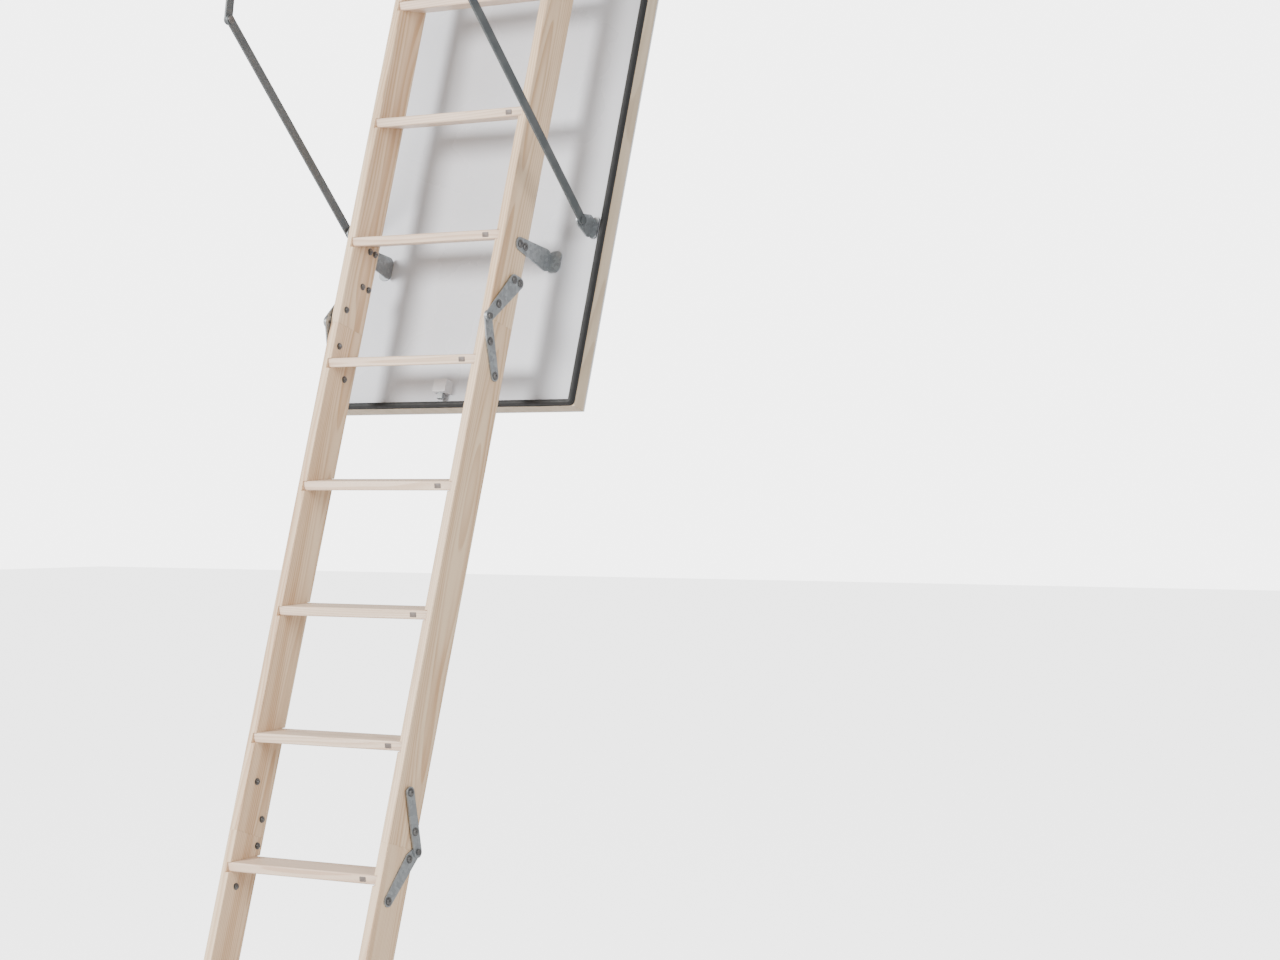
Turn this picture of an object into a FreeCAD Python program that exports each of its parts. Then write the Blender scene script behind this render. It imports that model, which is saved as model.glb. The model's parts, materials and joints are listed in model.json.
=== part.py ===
"""Attic ladder: hatch box, insulated hatch door, three-section timber ladder and swing arms.

Model frame: +X to the climber's right, +Y away from the climber, +Z up, millimetres.
The origin is the middle of the rear board's lower rim, in the plane of the ceiling.
At rest the hatch is open and the three sections stand in one line.

Ladder frame: the same X, its own Y up along the ladder and its own Z out of the ladder
towards the climber. It turns with the door about the hatch hinge, and is named by
"drop" (distance down from the hinge axis) and "rise" (distance out of the hinge plane).
"""
import FreeCAD, Part
import math
import os
import re

os.makedirs("parts", exist_ok=True)
doc = FreeCAD.newDocument("AtticLadder")
Vector = FreeCAD.Vector
X_AXIS = Vector(1, 0, 0)
Y_AXIS = Vector(0, 1, 0)
SIDES = (("left", -1), ("right", 1))

# ---------------------------------------------------------------- driving dimensions
SIZES = {
    # ladder
    "slope": 72.5,
    "tread_slope": 69.2,
    "ladder_width": 385,
    "stringer_thickness": 20,
    "stringer_depth": 80,
    "tread_thickness": 18,
    "tread_depth": 76,
    "tread_pitch": 250,
    "housing_depth": 8,
    "upper_top": 30,
    "upper_seam": 1058,
    "middle_length": 1012,
    "lower_length": 1025,
    "tread_below_seam": 69,
    "edge_ease": 3,
    "foot_wall": 3,
    "foot_sole": 8,
    "foot_grip": 26,
    # hatch box
    "box_width": 630,
    "box_length": 1180,
    "box_height": 140,
    "board_thickness": 18,
    "mortise_depth": 10,
    "fixing_radius": 3.5,
    "fixing_spacing": 900,
    "fixing_row_gap": 60,
    # hatch door
    "door_thickness": 35,
    "skin_thickness": 4,
    "lipping_width": 12,
    "gasket_width": 12,
    "gasket_inset": 0.5,
    "gasket_height": 11.5,
    "seal_gap": 12,
    "stand_off": 72,
    # hatch hinges
    "axis_setback": 6,
    "leaf_thickness": 2,
    "leaf_width": 60,
    "leaf_height": 32,
    "knuckle_radius": 5,
    "hinge_pin_radius": 2.5,
    "hinge_spacing": 210,
    "knuckle_gap": 0.3,
    "leaf_margin": 2,
    "bridge_lap": 4,
    "pin_cap_height": 2,
    "pin_cap_gap": 0.5,
    # folding hinges of the sections
    "fold_offset": 2.5,
    "strap_thickness": 3,
    "strap_play": 0.3,
    "ear_radius": 11,
    "fold_pin_radius": 3.5,
    "pin_head_height": 3,
    "pin_play": 0.05,
    "bolt_radius": 3,
    "bolt_head_radius": 6,
    "bolt_head_height": 3,
    "spacer_radius": 8,
    "pin_head_overhang": 2.5,
    # stand-off brackets
    "lower_bracket_drop": 893,
    "upper_bracket_drop": 215,
    "bracket_length": 44,
    "bracket_margin": 13,
    "bracket_foot": 30,
    # swing arms
    "arm_width": 20,
    "arm_thickness": 4,
    "arm_play": 0.8,
    "arm_pin_radius": 5,
    "box_pivot_y": -540,
    "box_pivot_z": 105,
    "door_pivot_drop": 827,
    "door_pivot_rise": 30,
    "elbow_drop": 568,
    "elbow_rise": 483,
    "pivot_plate": 56,
    "arm_foot_length": 44,
    "pivot_plate_thickness": 3,
    "spring_radius": 9,
    "spring_lug": 46,
    "spring_rear_y": -70,
    # latch
    "latch_width": 30,
    "latch_length": 26,
    "latch_height": 22,
    "bolt_width": 12,
    "bolt_thickness": 9,
    "bolt_throw": 10,
    "knob_radius": 16,
    "knob_height": 14,
    "knob_gap": 0.5,
    "spindle_radius": 5,
    "spindle_play": 1.5,
    "latch_setback": 7,
    "latch_wall": 3,
    "latch_play": 0.5,
    "tongue_reach": 12,
    "keeper_play": 1,
    "keeper_lift": 0.5,
}

sheet = doc.addObject("Spreadsheet::Sheet", "Sizes")
for row, (alias, number) in enumerate(SIZES.items(), start=1):
    sheet.set("A%d" % row, alias)
    sheet.set("B%d" % row, str(number))
    sheet.setAlias("B%d" % row, alias)
doc.recompute()

TREADS_PER_SECTION = 4
HINGE_COUNT = 3
WORD = re.compile(r"[a-z_]+")


def size(alias):
    """The sheet's value of one alias, in millimetres or degrees."""
    return float(sheet.get(alias))


def bind(thing, path, formula):
    """Bind a property to a formula in the sheet's aliases."""
    def named(match):
        word = match.group(0)
        return "Sizes." + word if word in SIZES else word
    thing.setExpression(path, WORD.sub(named, str(formula)))


# ---------------------------------------------------------------- formulas used in many places
HINGE_Y = "(board_thickness/2 + axis_setback)"
DOOR_TOP = "(-seal_gap)"
DOOR_BOTTOM = "(-seal_gap - door_thickness)"
RISE_BACK = "(stand_off - seal_gap)"
RISE_FRONT = "(stand_off - seal_gap + stringer_depth)"
RISE_MIDDLE = "(stand_off - seal_gap + stringer_depth/2)"
LOWER_SEAM = "(upper_seam + middle_length)"
LADDER_END = "(upper_seam + middle_length + lower_length)"
BOX_REAR = "(board_thickness/2)"
BOX_FRONT = "(board_thickness/2 - box_length)"
BOX_INSIDE = "(box_width/2 - board_thickness)"

# ---------------------------------------------------------------- primitives


def place(thing, at, turn=None):
    """Put a primitive at three formulas, turned about X by a formula in degrees."""
    if turn is not None:
        thing.Placement = FreeCAD.Placement(Vector(), FreeCAD.Rotation(X_AXIS, 30))
        bind(thing, "Placement.Rotation.Angle", turn)
    for axis, formula in zip("xyz", at):
        bind(thing, "Placement.Base." + axis, formula)
    return thing


def block(name, sizes, at, turn=None):
    """A box of three formulas with its lowest corner at three formulas."""
    thing = doc.addObject("Part::Box", name)
    for prop, formula in zip(("Length", "Width", "Height"), sizes):
        bind(thing, prop, formula)
    return place(thing, at, turn)


def rod(name, radius, length, at):
    """A cylinder along +X from the point given by three formulas."""
    thing = doc.addObject("Part::Cylinder", name)
    thing.Placement = FreeCAD.Placement(Vector(), FreeCAD.Rotation(Y_AXIS, 90))
    bind(thing, "Radius", radius)
    bind(thing, "Height", length)
    for axis, formula in zip("xyz", at):
        bind(thing, "Placement.Base." + axis, formula)
    return thing


def post(name, radius, length, at):
    """A cylinder along +Z from the point given by three formulas."""
    thing = doc.addObject("Part::Cylinder", name)
    bind(thing, "Radius", radius)
    bind(thing, "Height", length)
    return place(thing, at)


def fuse(name, parts):
    """One solid, or one group of solids, from several."""
    if len(parts) == 1:
        return parts[0]
    thing = doc.addObject("Part::MultiFuse", name)
    thing.Shapes = parts
    return thing


def cut(name, base, tools):
    """A solid less its tools."""
    thing = doc.addObject("Part::Cut", name)
    thing.Base = base
    thing.Tool = fuse(name + "_tools", tools)
    return thing


def outward(side, near, far):
    """Start and length along X of a layer between two distances from the middle."""
    start = near if side > 0 else "-(%s)" % far
    return start, "(%s) - (%s)" % (far, near)


def eased(name, thing, radius, axis):
    """The same solid with the edges that run along one of its own axes rounded."""
    doc.recompute([thing])
    own = thing.Placement.Rotation.multVec(axis)
    rounded = doc.addObject("Part::Fillet", name)
    rounded.Base = thing
    rounded.Edges = [(i, radius, radius) for i, edge in enumerate(thing.Shape.Edges, start=1)
                     if abs(edge.tangentAt(edge.FirstParameter).dot(own)) > 0.999]
    return rounded


def side_rod(name, side, radius, near, far, drop, rise):
    """A cylinder along X in the ladder frame, between two distances from the middle."""
    start, length = outward(side, near, far)
    return rod(name, radius, length, (start, "-(%s)" % drop, rise))


def side_block(name, side, near, far, drop_from, drop_to, rise_from, rise_to):
    """A box in the ladder frame, between two distances from the middle."""
    start, length = outward(side, near, far)
    sizes = (length, "(%s) - (%s)" % (drop_to, drop_from), "(%s) - (%s)" % (rise_to, rise_from))
    return block(name, sizes, (start, "-(%s)" % drop_to, rise_from))


def hull(points):
    """The points on the convex outline of a set, anticlockwise."""
    def half(ordered):
        chain = []
        for point in ordered:
            while len(chain) > 1 and ((chain[-1][0] - chain[-2][0]) * (point[1] - chain[-2][1])
                                      <= (chain[-1][1] - chain[-2][1]) * (point[0] - chain[-2][0])):
                chain.pop()
            chain.append(point)
        return chain[:-1]
    ordered = sorted(set(points))
    return half(ordered) + half(ordered[::-1])


def rounded_plate(points, margin, start_x, thickness, holes=()):
    """A plate across X whose outline rolls a circle round its points, given as (y, z)."""
    ring = hull(points)
    sides = []
    for first, second in zip(ring, ring[1:] + ring[:1]):
        run = math.hypot(second[0] - first[0], second[1] - first[1])
        shift = (margin * (second[1] - first[1]) / run, -margin * (second[0] - first[0]) / run)
        sides.append([Vector(start_x, p[0] + shift[0], p[1] + shift[1]) for p in (first, second)])
    edges = []
    for i, (start, end) in enumerate(sides):
        corner = Vector(start_x, *ring[(i + 1) % len(ring)])
        following = sides[(i + 1) % len(ring)][0]
        bisector = (end - corner) + (following - corner)
        if bisector.Length < 1e-6:
            bisector = end - start
        edges.append(Part.LineSegment(start, end).toShape())
        edges.append(Part.Arc(end, corner + bisector.normalize() * margin, following).toShape())
    plate = Part.Face(Part.Wire(edges)).extrude(Vector(thickness, 0, 0))
    for radius, along, up in holes:
        bore = Part.makeCylinder(radius, thickness + 2, Vector(start_x - 1, along, up), X_AXIS)
        plate = plate.cut(bore)
    return plate


def layer_start(side, near, thickness):
    """Lowest X of a layer that starts a given distance from the middle, on either side."""
    return near if side > 0 else -near - thickness


def drum(radius, side, near, far, along, up):
    """A drawn cylinder along X between two distances from the middle."""
    start = near if side > 0 else -far
    return Part.makeCylinder(radius, far - near, Vector(start, along, up), X_AXIS)


# ---------------------------------------------------------------- sub-parts
parts = []


def ladder_placement():
    """The ladder frame at rest: turned with the door about the hatch hinge."""
    axis_y = size("board_thickness") / 2 + size("axis_setback")
    return FreeCAD.Placement(Vector(0, axis_y, 0), FreeCAD.Rotation(X_AXIS, size("slope")))


def keep(thing, label, in_ladder=True):
    """Register a sub-part under its own label, in the ladder frame or the model frame."""
    thing.Label = label
    if in_ladder:
        thing.Placement = ladder_placement()
    parts.append(thing)


def keep_drawn(shape, label, in_ladder=True):
    """Register a drawn shape as a sub-part, with its Placement set after its Shape."""
    thing = doc.addObject("Part::Feature", label)
    thing.Shape = shape
    keep(thing, label, in_ladder)


def level_block(name, width, depth, height, x, drop, rise, corner_y, corner_z, level_at="slope"):
    """A box level when the ladder stands at one slope; its low corner is offset from a point."""
    along = "-(%s) + (%s)*cos(%s) + (%s)*sin(%s)" % (drop, corner_y, level_at, corner_z, level_at)
    out = "(%s) - (%s)*sin(%s) + (%s)*cos(%s)" % (rise, corner_y, level_at, corner_z, level_at)
    return block(name, (width, depth, height), (x, along, out), turn="-" + level_at)


# Bolts of the folding hinges: distance from the seam, inset from the hinged edge.
SEAM_BOLTS = {
    "upper": {"above": ((31, 17), (91, 50), (91, 69)), "below": ((44, 17), (101, 50))},
    "lower": {"above": ((34, 17), (100, 51)), "below": ((17, 15), (103, 52))},
}
BRACKET_BOLT_INSETS = (12, 28)
FOOT_ROUNDING = 0.4
NUT_RADIUS = 5
NUT_HEIGHT = 4
SCREW_HEIGHTS = (30, 110)
SCREW_LENGTH = 45

seam_upper = size("upper_seam")
seam_lower = seam_upper + size("middle_length")
ladder_end = seam_lower + size("lower_length")
rise_back = size("stand_off") - size("seal_gap")
rise_front = rise_back + size("stringer_depth")
outer_face = size("ladder_width") / 2
inner_face = outer_face - size("stringer_thickness")
strap = size("strap_thickness")
outer_layer = outer_face + strap + size("strap_play")
box_inside = size("box_width") / 2 - size("board_thickness")


class Seam:
    """A folding joint between two sections: where its pivot and its bolts are."""

    def __init__(self, name, drop, front):
        self.name = name
        self.drop = drop
        self.edge = rise_front if front else rise_back
        self.out = 1 if front else -1
        self.pivot = (-drop, self.edge + self.out * size("fold_offset"))

    def bolts(self, where):
        """(y, z) of the bolts "above" or "below" the seam, in the ladder frame."""
        up = 1 if where == "above" else -1
        return [(-self.drop + up * along, self.edge - self.out * inset)
                for along, inset in SEAM_BOLTS[self.name][where]]


SEAMS = {"upper": Seam("upper", seam_upper, True), "lower": Seam("lower", seam_lower, False)}


def bracket_bolts(drop):
    """(y, z) of the two bolts of a stand-off bracket."""
    return [(-drop, rise_back + inset) for inset in BRACKET_BOLT_INSETS]


def tread_drops(section):
    """Drops of the tread centres of section 0, 1 or 2, top to bottom."""
    first = "(upper_seam + tread_below_seam - (%d)*tread_pitch)" % (TREADS_PER_SECTION * (1 - section))
    return ["(%s + %d*tread_pitch)" % (first, i) for i in range(TREADS_PER_SECTION)]


def bracket_points():
    """(y, z) of the bolts of both pairs of stand-off brackets."""
    drops = (size("upper_bracket_drop"), size("lower_bracket_drop"))
    return [point for drop in drops for point in bracket_bolts(drop)]


def stringer_holes(section):
    """(y, z) of every bolt hole through the stringers of one section."""
    upper, lower = SEAMS["upper"], SEAMS["lower"]
    if section == 0:
        return upper.bolts("above") + bracket_points()
    if section == 1:
        return upper.bolts("below") + lower.bolts("above")
    return lower.bolts("below")


def floor_cut(name, side):
    """Everything below the level plane on which the stringer ends."""
    start, width = outward(side, "ladder_width/2 - stringer_thickness - foot_wall - 1",
                           "ladder_width/2 + foot_wall + 1")
    return level_block(name, width, "4*stringer_depth", "stringer_depth", start,
                       LADDER_END, RISE_MIDDLE, "-2*stringer_depth", "-stringer_depth")


def stringer(label, section, side):
    """One stringer: a plank with a housing for each tread and holes for its bolts."""
    near, far = "ladder_width/2 - stringer_thickness", "ladder_width/2"
    top = ("upper_top", "upper_seam", LOWER_SEAM)[section]
    bottom = ("upper_seam", LOWER_SEAM, LADDER_END + " + stringer_depth/2/tan(slope) + 1")[section]
    sawn = side_block(label + "_plank", side, near, far, top, bottom, RISE_BACK, RISE_FRONT)
    plank = eased(label + "_eased", sawn, size("edge_ease"), Y_AXIS)
    tools = []
    start, width = outward(side, near + " - 1", near + " + housing_depth")
    for i, drop in enumerate(tread_drops(section)):
        tools.append(level_block("%s_housing_%d" % (label, i), width, "2*stringer_depth",
                                 "tread_thickness", start, drop, RISE_MIDDLE,
                                 "-stringer_depth", "-tread_thickness/2", "tread_slope"))
    for i, (along, up) in enumerate(stringer_holes(section)):
        tools.append(side_rod("%s_hole_%d" % (label, i), side, "bolt_radius",
                              near + " - 1", far + " + 1", -along, up))
    if section == 2:
        tools.append(floor_cut(label + "_floor", side))
    keep(cut(label, plank, tools), label)


def tread(label, drop):
    """A board housed in both stringers, a little off level because the ladder stands steep."""
    width = "ladder_width - 2*stringer_thickness + 2*housing_depth"
    board = level_block(label + "_board", width, "tread_depth", "tread_thickness",
                        "-(%s)/2" % width, drop, RISE_MIDDLE, "-tread_depth/2",
                        "-tread_thickness/2", "tread_slope")
    keep(eased(label + "_eased", board, size("edge_ease"), X_AXIS), label)


def foot(label, side):
    """A rubber shoe over the end of a lower stringer, with a level sole."""
    near, far = "ladder_width/2 - stringer_thickness - foot_wall", "ladder_width/2 + foot_wall"
    start, width = outward(side, near, far)
    depth = "(stringer_depth/sin(slope) + 2*foot_wall)"
    shoe = level_block(label + "_shoe", width, depth, "foot_sole + foot_grip", start,
                       LADDER_END, RISE_MIDDLE, "-%s/2" % depth, "-foot_sole")
    plank = side_block(label + "_plank", side, "ladder_width/2 - stringer_thickness",
                       "ladder_width/2", LOWER_SEAM, LADDER_END + " + stringer_depth",
                       RISE_BACK, RISE_FRONT)
    inside = cut(label + "_inside", plank, [floor_cut(label + "_floor", side)])
    keep(cut(label, shoe, [inside]), label)


def bolt(side, seat, along, up):
    """A bolt through a stringer: its head on a seat outside, its nut on the inner face."""
    radius = size("bolt_radius")
    head = seat + size("bolt_head_height")
    shank = drum(radius, side, inner_face - NUT_HEIGHT, head, along, up)
    cap = drum(size("bolt_head_radius"), side, seat, head, along, up)
    nut = drum(NUT_RADIUS, side, inner_face - NUT_HEIGHT, inner_face, along, up)
    return shank.fuse([cap, nut])


def bolt_group(label, seats):
    """Bolts on both sides of the ladder, from (seat, y, z) rows."""
    solids = [bolt(side, *seat) for _, side in SIDES for seat in seats]
    keep_drawn(Part.makeCompound(solids), label)


def fold_leaves(seam):
    """The pairs of leaves of a folding hinge, left and right, and the rivets that join them."""
    pin = size("fold_pin_radius")
    hole = size("bolt_radius")
    margin = size("ear_radius")
    head_height = size("pin_head_height")
    above, below = seam.bolts("above"), seam.bolts("below")
    uppers, lowers, pins = [], [], []
    for _, side in SIDES:
        start = layer_start(side, outer_layer, strap)
        leaf = rounded_plate([seam.pivot] + above, margin, start, strap,
                             [(hole, *point) for point in above] + [(pin, *seam.pivot)])
        spacers = [drum(size("spacer_radius"), side, outer_face, outer_layer, *point).cut(
            drum(hole, side, outer_face, outer_layer, *point)) for point in above]
        uppers.append(leaf.fuse(spacers))
        start = layer_start(side, outer_face, strap)
        lowers.append(rounded_plate([seam.pivot] + below, margin, start, strap,
                                    [(hole, *point) for point in below]
                                    + [(pin + size("pin_play"), *seam.pivot)]))
        outer = outer_layer + strap
        shank = drum(pin, side, outer_face, outer + head_height, *seam.pivot)
        head = drum(pin + size("pin_head_overhang"), side, outer, outer + head_height, *seam.pivot)
        pins.append(shank.fuse(head))
    keep_drawn(Part.makeCompound(uppers), "%s_fold_upper_leaves" % seam.name)
    keep_drawn(Part.makeCompound(lowers), "%s_fold_lower_leaves" % seam.name)
    keep_drawn(Part.makeCompound(pins), "%s_fold_pins" % seam.name)


def bracket_foot(side, near, width, drop, half_length):
    """A foot with round corners, flat on the door, from a distance out from the middle."""
    low = near if side > 0 else -near - width
    foot_plate = Part.makeBox(width, 2 * half_length, strap,
                              Vector(low, -drop - half_length, -size("seal_gap")))
    upright = [edge for edge in foot_plate.Edges
               if abs(edge.tangentAt(edge.FirstParameter).z) > 0.999]
    return foot_plate.makeFillet(width * FOOT_ROUNDING, upright)


def stood_on_door(plate, side, near, drop):
    """An upright plate less whatever of it lies below the door's face."""
    start = layer_start(side, near, strap)
    below = Part.makeBox(3 * strap, 4 * size("bracket_length"), size("bracket_length"),
                         Vector(start - strap, -drop - 2 * size("bracket_length"),
                                -size("seal_gap") - size("bracket_length")))
    return plate.cut(below)


def stand_off_bracket(side, drop):
    """A stamped plate up the stringer's outer face, with a round foot on the door."""
    margin = size("bracket_margin")
    half = size("bracket_length") / 2
    top = bracket_bolts(drop)
    base = [(-drop + shift * (half - margin), margin - size("seal_gap")) for shift in (-1, 1)]
    start = layer_start(side, outer_face, strap)
    plate = rounded_plate(top + base, margin, start, strap,
                          [(size("bolt_radius"), *point) for point in top])
    foot_plate = bracket_foot(side, outer_face, size("bracket_foot"), drop, half)
    return stood_on_door(plate, side, outer_face, drop).fuse(foot_plate).removeSplitter()


def hatch_box():
    """Four boards, the screws that hold them, and the latch keeper."""
    for word, side in SIDES:
        start, width = outward(side, BOX_INSIDE, "box_width/2")
        board = block("side_board_" + word, (width, "box_length", "box_height"),
                      (start, BOX_FRONT, "0"))
        tools = screw_tools("side_screw_" + word, (side,))
        tools += [rod("fixing_%s_%d_%d" % (word, a + 1, b + 1), "fixing_radius",
                      "board_thickness + 2",
                      (start + " - 1", "board_thickness/2 - box_length/2 + %d*fixing_spacing/2" % a,
                       "box_height/2 + %d*fixing_row_gap/2" % b)) for a in (-1, 1) for b in (-1, 1)]
        keep(cut("box_side_" + word, board, tools), "box_side_" + word, False)
    for end, low in (("front", BOX_FRONT), ("rear", BOX_REAR + " - board_thickness")):
        board = block("end_board_" + end, ("2*" + BOX_INSIDE, "board_thickness", "box_height"),
                      ("-" + BOX_INSIDE, low, "0"))
        tools = screw_tools("end_screw_" + end, (-1, 1), (end,))
        if end == "front":
            tools.append(keeper_slot("mortise", "mortise_depth + 1",
                                     BOX_FRONT + " + board_thickness - mortise_depth"))
        keep(cut("box_end_" + end, board, tools), "box_end_" + end, False)
    keep(fuse("corner_screws", screw_tools("screw", (-1, 1))), "box_corner_screws",
         False)
    plate = block("keeper_plate", ("latch_width", "leaf_thickness", "2*latch_height"),
                  ("-latch_width/2", BOX_FRONT + " + board_thickness", "keeper_lift"))
    slot = keeper_slot("keeper_slot", "4*leaf_thickness", BOX_FRONT + " + board_thickness - 1")
    keep(cut("latch_keeper", plate, [slot]), "latch_keeper", False)


def keeper_slot(name, depth, start):
    """The opening that the latch bolt enters, with play all round."""
    return block(name, ("bolt_width + 2*keeper_play", depth, "bolt_thickness + 2*keeper_play"),
                 ("-bolt_width/2 - keeper_play", start, LATCH_BOLT_RISE + " - keeper_play"))


def screw_tools(name, sides, ends=("front", "rear")):
    """The corner screws of the box as solids, to keep or to cut with."""
    middles = {"front": BOX_FRONT + " + board_thickness/2", "rear": "0"}
    solids = []
    for side in sides:
        for end in ends:
            for height in SCREW_HEIGHTS:
                tag = "%s_%s_%d_%d" % (name, end, side + 1, height)
                start, length = outward(side, "box_width/2 - %d" % SCREW_LENGTH, "box_width/2")
                at = (start, middles[end], height)
                shank = rod(tag, "hinge_pin_radius", length, at)
                solids.append(shank)
    return solids


def hatch_hinges():
    """Butt hinges outside the rear board: fixed leaves, door leaves and pins."""
    fixed, moving, pins = [], [], []
    third = "leaf_width/3"
    for i in range(HINGE_COUNT):
        middle = "(%d*hinge_spacing)" % (i - HINGE_COUNT // 2)
        left = middle + " - leaf_width/2"
        plate = block("fixed_plate_%d" % i, ("leaf_width", "leaf_thickness", "leaf_height"),
                      (left, BOX_REAR, "axis_setback"))
        bridge = block("fixed_bridge_%d" % i, (third, "axis_setback", "axis_setback + 1"),
                       (middle + " - leaf_width/6", BOX_REAR, "0"))
        knuckle = rod("fixed_knuckle_%d" % i, "knuckle_radius", third,
                      (middle + " - leaf_width/6", HINGE_Y, "0"))
        bore = rod("fixed_bore_%d" % i, "hinge_pin_radius", "leaf_width", (left, HINGE_Y, "0"))
        fixed.append(cut("fixed_leaf_%d" % i, fuse("fixed_body_%d" % i, [plate, bridge, knuckle]),
                         [bore]))
        pin = rod("pin_%d" % i, "hinge_pin_radius", "leaf_width + 2", (left + " - 1", HINGE_Y, "0"))
        ends = (" - leaf_width/2 - pin_cap_gap - pin_cap_height", " + leaf_width/2 + pin_cap_gap")
        caps = [rod("pin_cap_%d_%d" % (i, j), "knuckle_radius - 1", "pin_cap_height",
                    (middle + end, HINGE_Y, "0")) for j, end in enumerate(ends)]
        pins.append(fuse("hinge_pin_%d" % i, [pin] + caps))
        pieces = [block("door_plate_%d" % i,
                        ("leaf_width", "leaf_thickness", "door_thickness - 2*leaf_margin"),
                        (left, "-axis_setback", DOOR_BOTTOM + " + leaf_margin"))]
        for end in (0, 1):
            low = middle + " + leaf_width/6 + knuckle_gap" if end else left
            pieces.append(rod("door_knuckle_%d_%d" % (i, end), "knuckle_radius", third + " - knuckle_gap",
                              (low, "0", "0")))
            pieces.append(block("door_bridge_%d_%d" % (i, end),
                                (third + " - knuckle_gap", "axis_setback", "seal_gap + bridge_lap"),
                                (low, "-axis_setback", "-seal_gap - bridge_lap")))
        bore = rod("door_bore_%d" % i, "hinge_pin_radius + pin_play", "leaf_width + 2",
                   (left + " - 1", "0", "0"))
        moving.append(cut("door_leaf_%d" % i, fuse("door_leaf_body_%d" % i, pieces), [bore]))
    keep(fuse("fixed_leaves", fixed), "hatch_hinge_fixed_leaves", False)
    keep(fuse("hinge_pins", pins), "hatch_hinge_pins", False)
    keep(fuse("door_leaves", moving), "hatch_hinge_door_leaves")


def door_slab(name, inset, rise_from, rise_to):
    """A slab of the door, inset from its outline, between two rises."""
    width = "box_width - 2*(%s)" % inset
    length = "box_length - 2*(%s)" % inset
    return block(name, (width, length, "(%s) - (%s)" % (rise_to, rise_from)),
                 ("-(%s)/2" % width, "-axis_setback - box_length + (%s)" % inset, rise_from))


def hatch_door():
    """Outer skin, timber lipping, white insulated core and the seal on the lipping."""
    skin_top = "(-seal_gap - door_thickness + skin_thickness)"
    spindle = [post("spindle_hole_%d" % i, "spindle_radius + pin_play", "2*door_thickness",
                    ("0", "-(%s)" % KNOB_DROP, DOOR_BOTTOM + " - 1")) for i in (0, 1)]
    skin = door_slab("skin_slab", "0", DOOR_BOTTOM, skin_top)
    keep(cut("door_skin", skin, [spindle[0]]), "door_outer_skin")
    frame = door_slab("lipping_slab", "0", skin_top, DOOR_TOP)
    inner = door_slab("lipping_inside", "lipping_width", skin_top + " - 1", DOOR_TOP + " + 1")
    keep(cut("lipping", frame, [inner]), "door_lipping")
    core = door_slab("core_slab", "lipping_width", skin_top, DOOR_TOP)
    keep(cut("core", core, [spindle[1]]), "door_insulated_core")
    top = DOOR_TOP + " + gasket_height"
    outer = door_slab("gasket_slab", "gasket_inset", DOOR_TOP, top)
    hollow = door_slab("gasket_inside", "gasket_inset + gasket_width", DOOR_TOP + " - 1", top + " + 1")
    keep(cut("gasket", outer, [hollow]), "door_gasket")


CASE_END = "(axis_setback + box_length - board_thickness - leaf_thickness - latch_setback)"
KNOB_DROP = "(%s - latch_length/2)" % CASE_END
LATCH_BOLT_RISE = "(-seal_gap + (latch_height - bolt_thickness)/2)"


def latch():
    """Latch case on the door, its sliding bolt, and the turning knob below the hatch."""
    case = block("case_block", ("latch_width", "latch_length", "latch_height"),
                 ("-latch_width/2", "-" + CASE_END, DOOR_TOP))
    pocket = block("case_pocket", ("bolt_width + 2*latch_play", "latch_length - latch_wall + 1",
                                   "bolt_thickness + 2*latch_play"),
                   ("-bolt_width/2 - latch_play", "-" + CASE_END + " - 1",
                    LATCH_BOLT_RISE + " - latch_play"))
    well = post("case_well", "spindle_radius + 1", "(latch_height - bolt_thickness)/2",
                ("0", "-" + KNOB_DROP, DOOR_TOP + " - 1"))
    keep(cut("latch_case", case, [pocket, well]), "latch_case")
    tongue = block("tongue", ("bolt_width", "latch_length - 2*latch_wall", "bolt_thickness"),
                   ("-bolt_width/2", "-%s - tongue_reach" % CASE_END, LATCH_BOLT_RISE))
    keep(eased("tongue_eased", tongue, size("bolt_thickness") / 4, X_AXIS), "latch_bolt")
    knob = post("knob_disc", "knob_radius", "knob_height",
                ("0", "-" + KNOB_DROP, DOOR_BOTTOM + " - knob_height - knob_gap"))
    spindle = post("knob_spindle", "spindle_radius",
                   "door_thickness + knob_height/2 + (latch_height - bolt_thickness)/2 - spindle_play",
                   ("0", "-" + KNOB_DROP, DOOR_BOTTOM + " - knob_height/2"))
    keep(fuse("knob", [knob, spindle]), "latch_knob")


class Arms:
    """The swing arms: their pivots in the model frame at rest, and the layers they lie in."""

    def __init__(self):
        axis_y = size("board_thickness") / 2 + size("axis_setback")
        slope = math.radians(size("slope"))

        def level(drop, rise):
            return (axis_y - drop * math.cos(slope) - rise * math.sin(slope),
                    -drop * math.sin(slope) + rise * math.cos(slope))
        self.top = (size("box_pivot_y"), size("box_pivot_z"))
        self.elbow = level(size("elbow_drop"), size("elbow_rise"))
        self.foot = level(size("door_pivot_drop"), size("door_pivot_rise"))
        run = math.hypot(self.elbow[0] - self.top[0], self.elbow[1] - self.top[1])
        self.lug = tuple(self.top[i] - (self.elbow[i] - self.top[i]) / run * size("spring_lug")
                         for i in (0, 1))
        thick, play = size("arm_thickness"), size("arm_play")
        self.plate_near = box_inside - size("pivot_plate_thickness")
        self.upper_near = self.plate_near - play - thick
        self.lower_near = self.upper_near - play - thick
        self.foot_near = self.lower_near - play - strap
        self.spring_middle = self.upper_near - 1 - size("spring_radius")


arms = Arms()
ARM_CAP = 2.4
CAP_PLAY = 0.4
PIN_RIM = 3
PEG_RADIUS = 4
SPRING_HOOK = 14
PLATE_CORNER = 6


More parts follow.
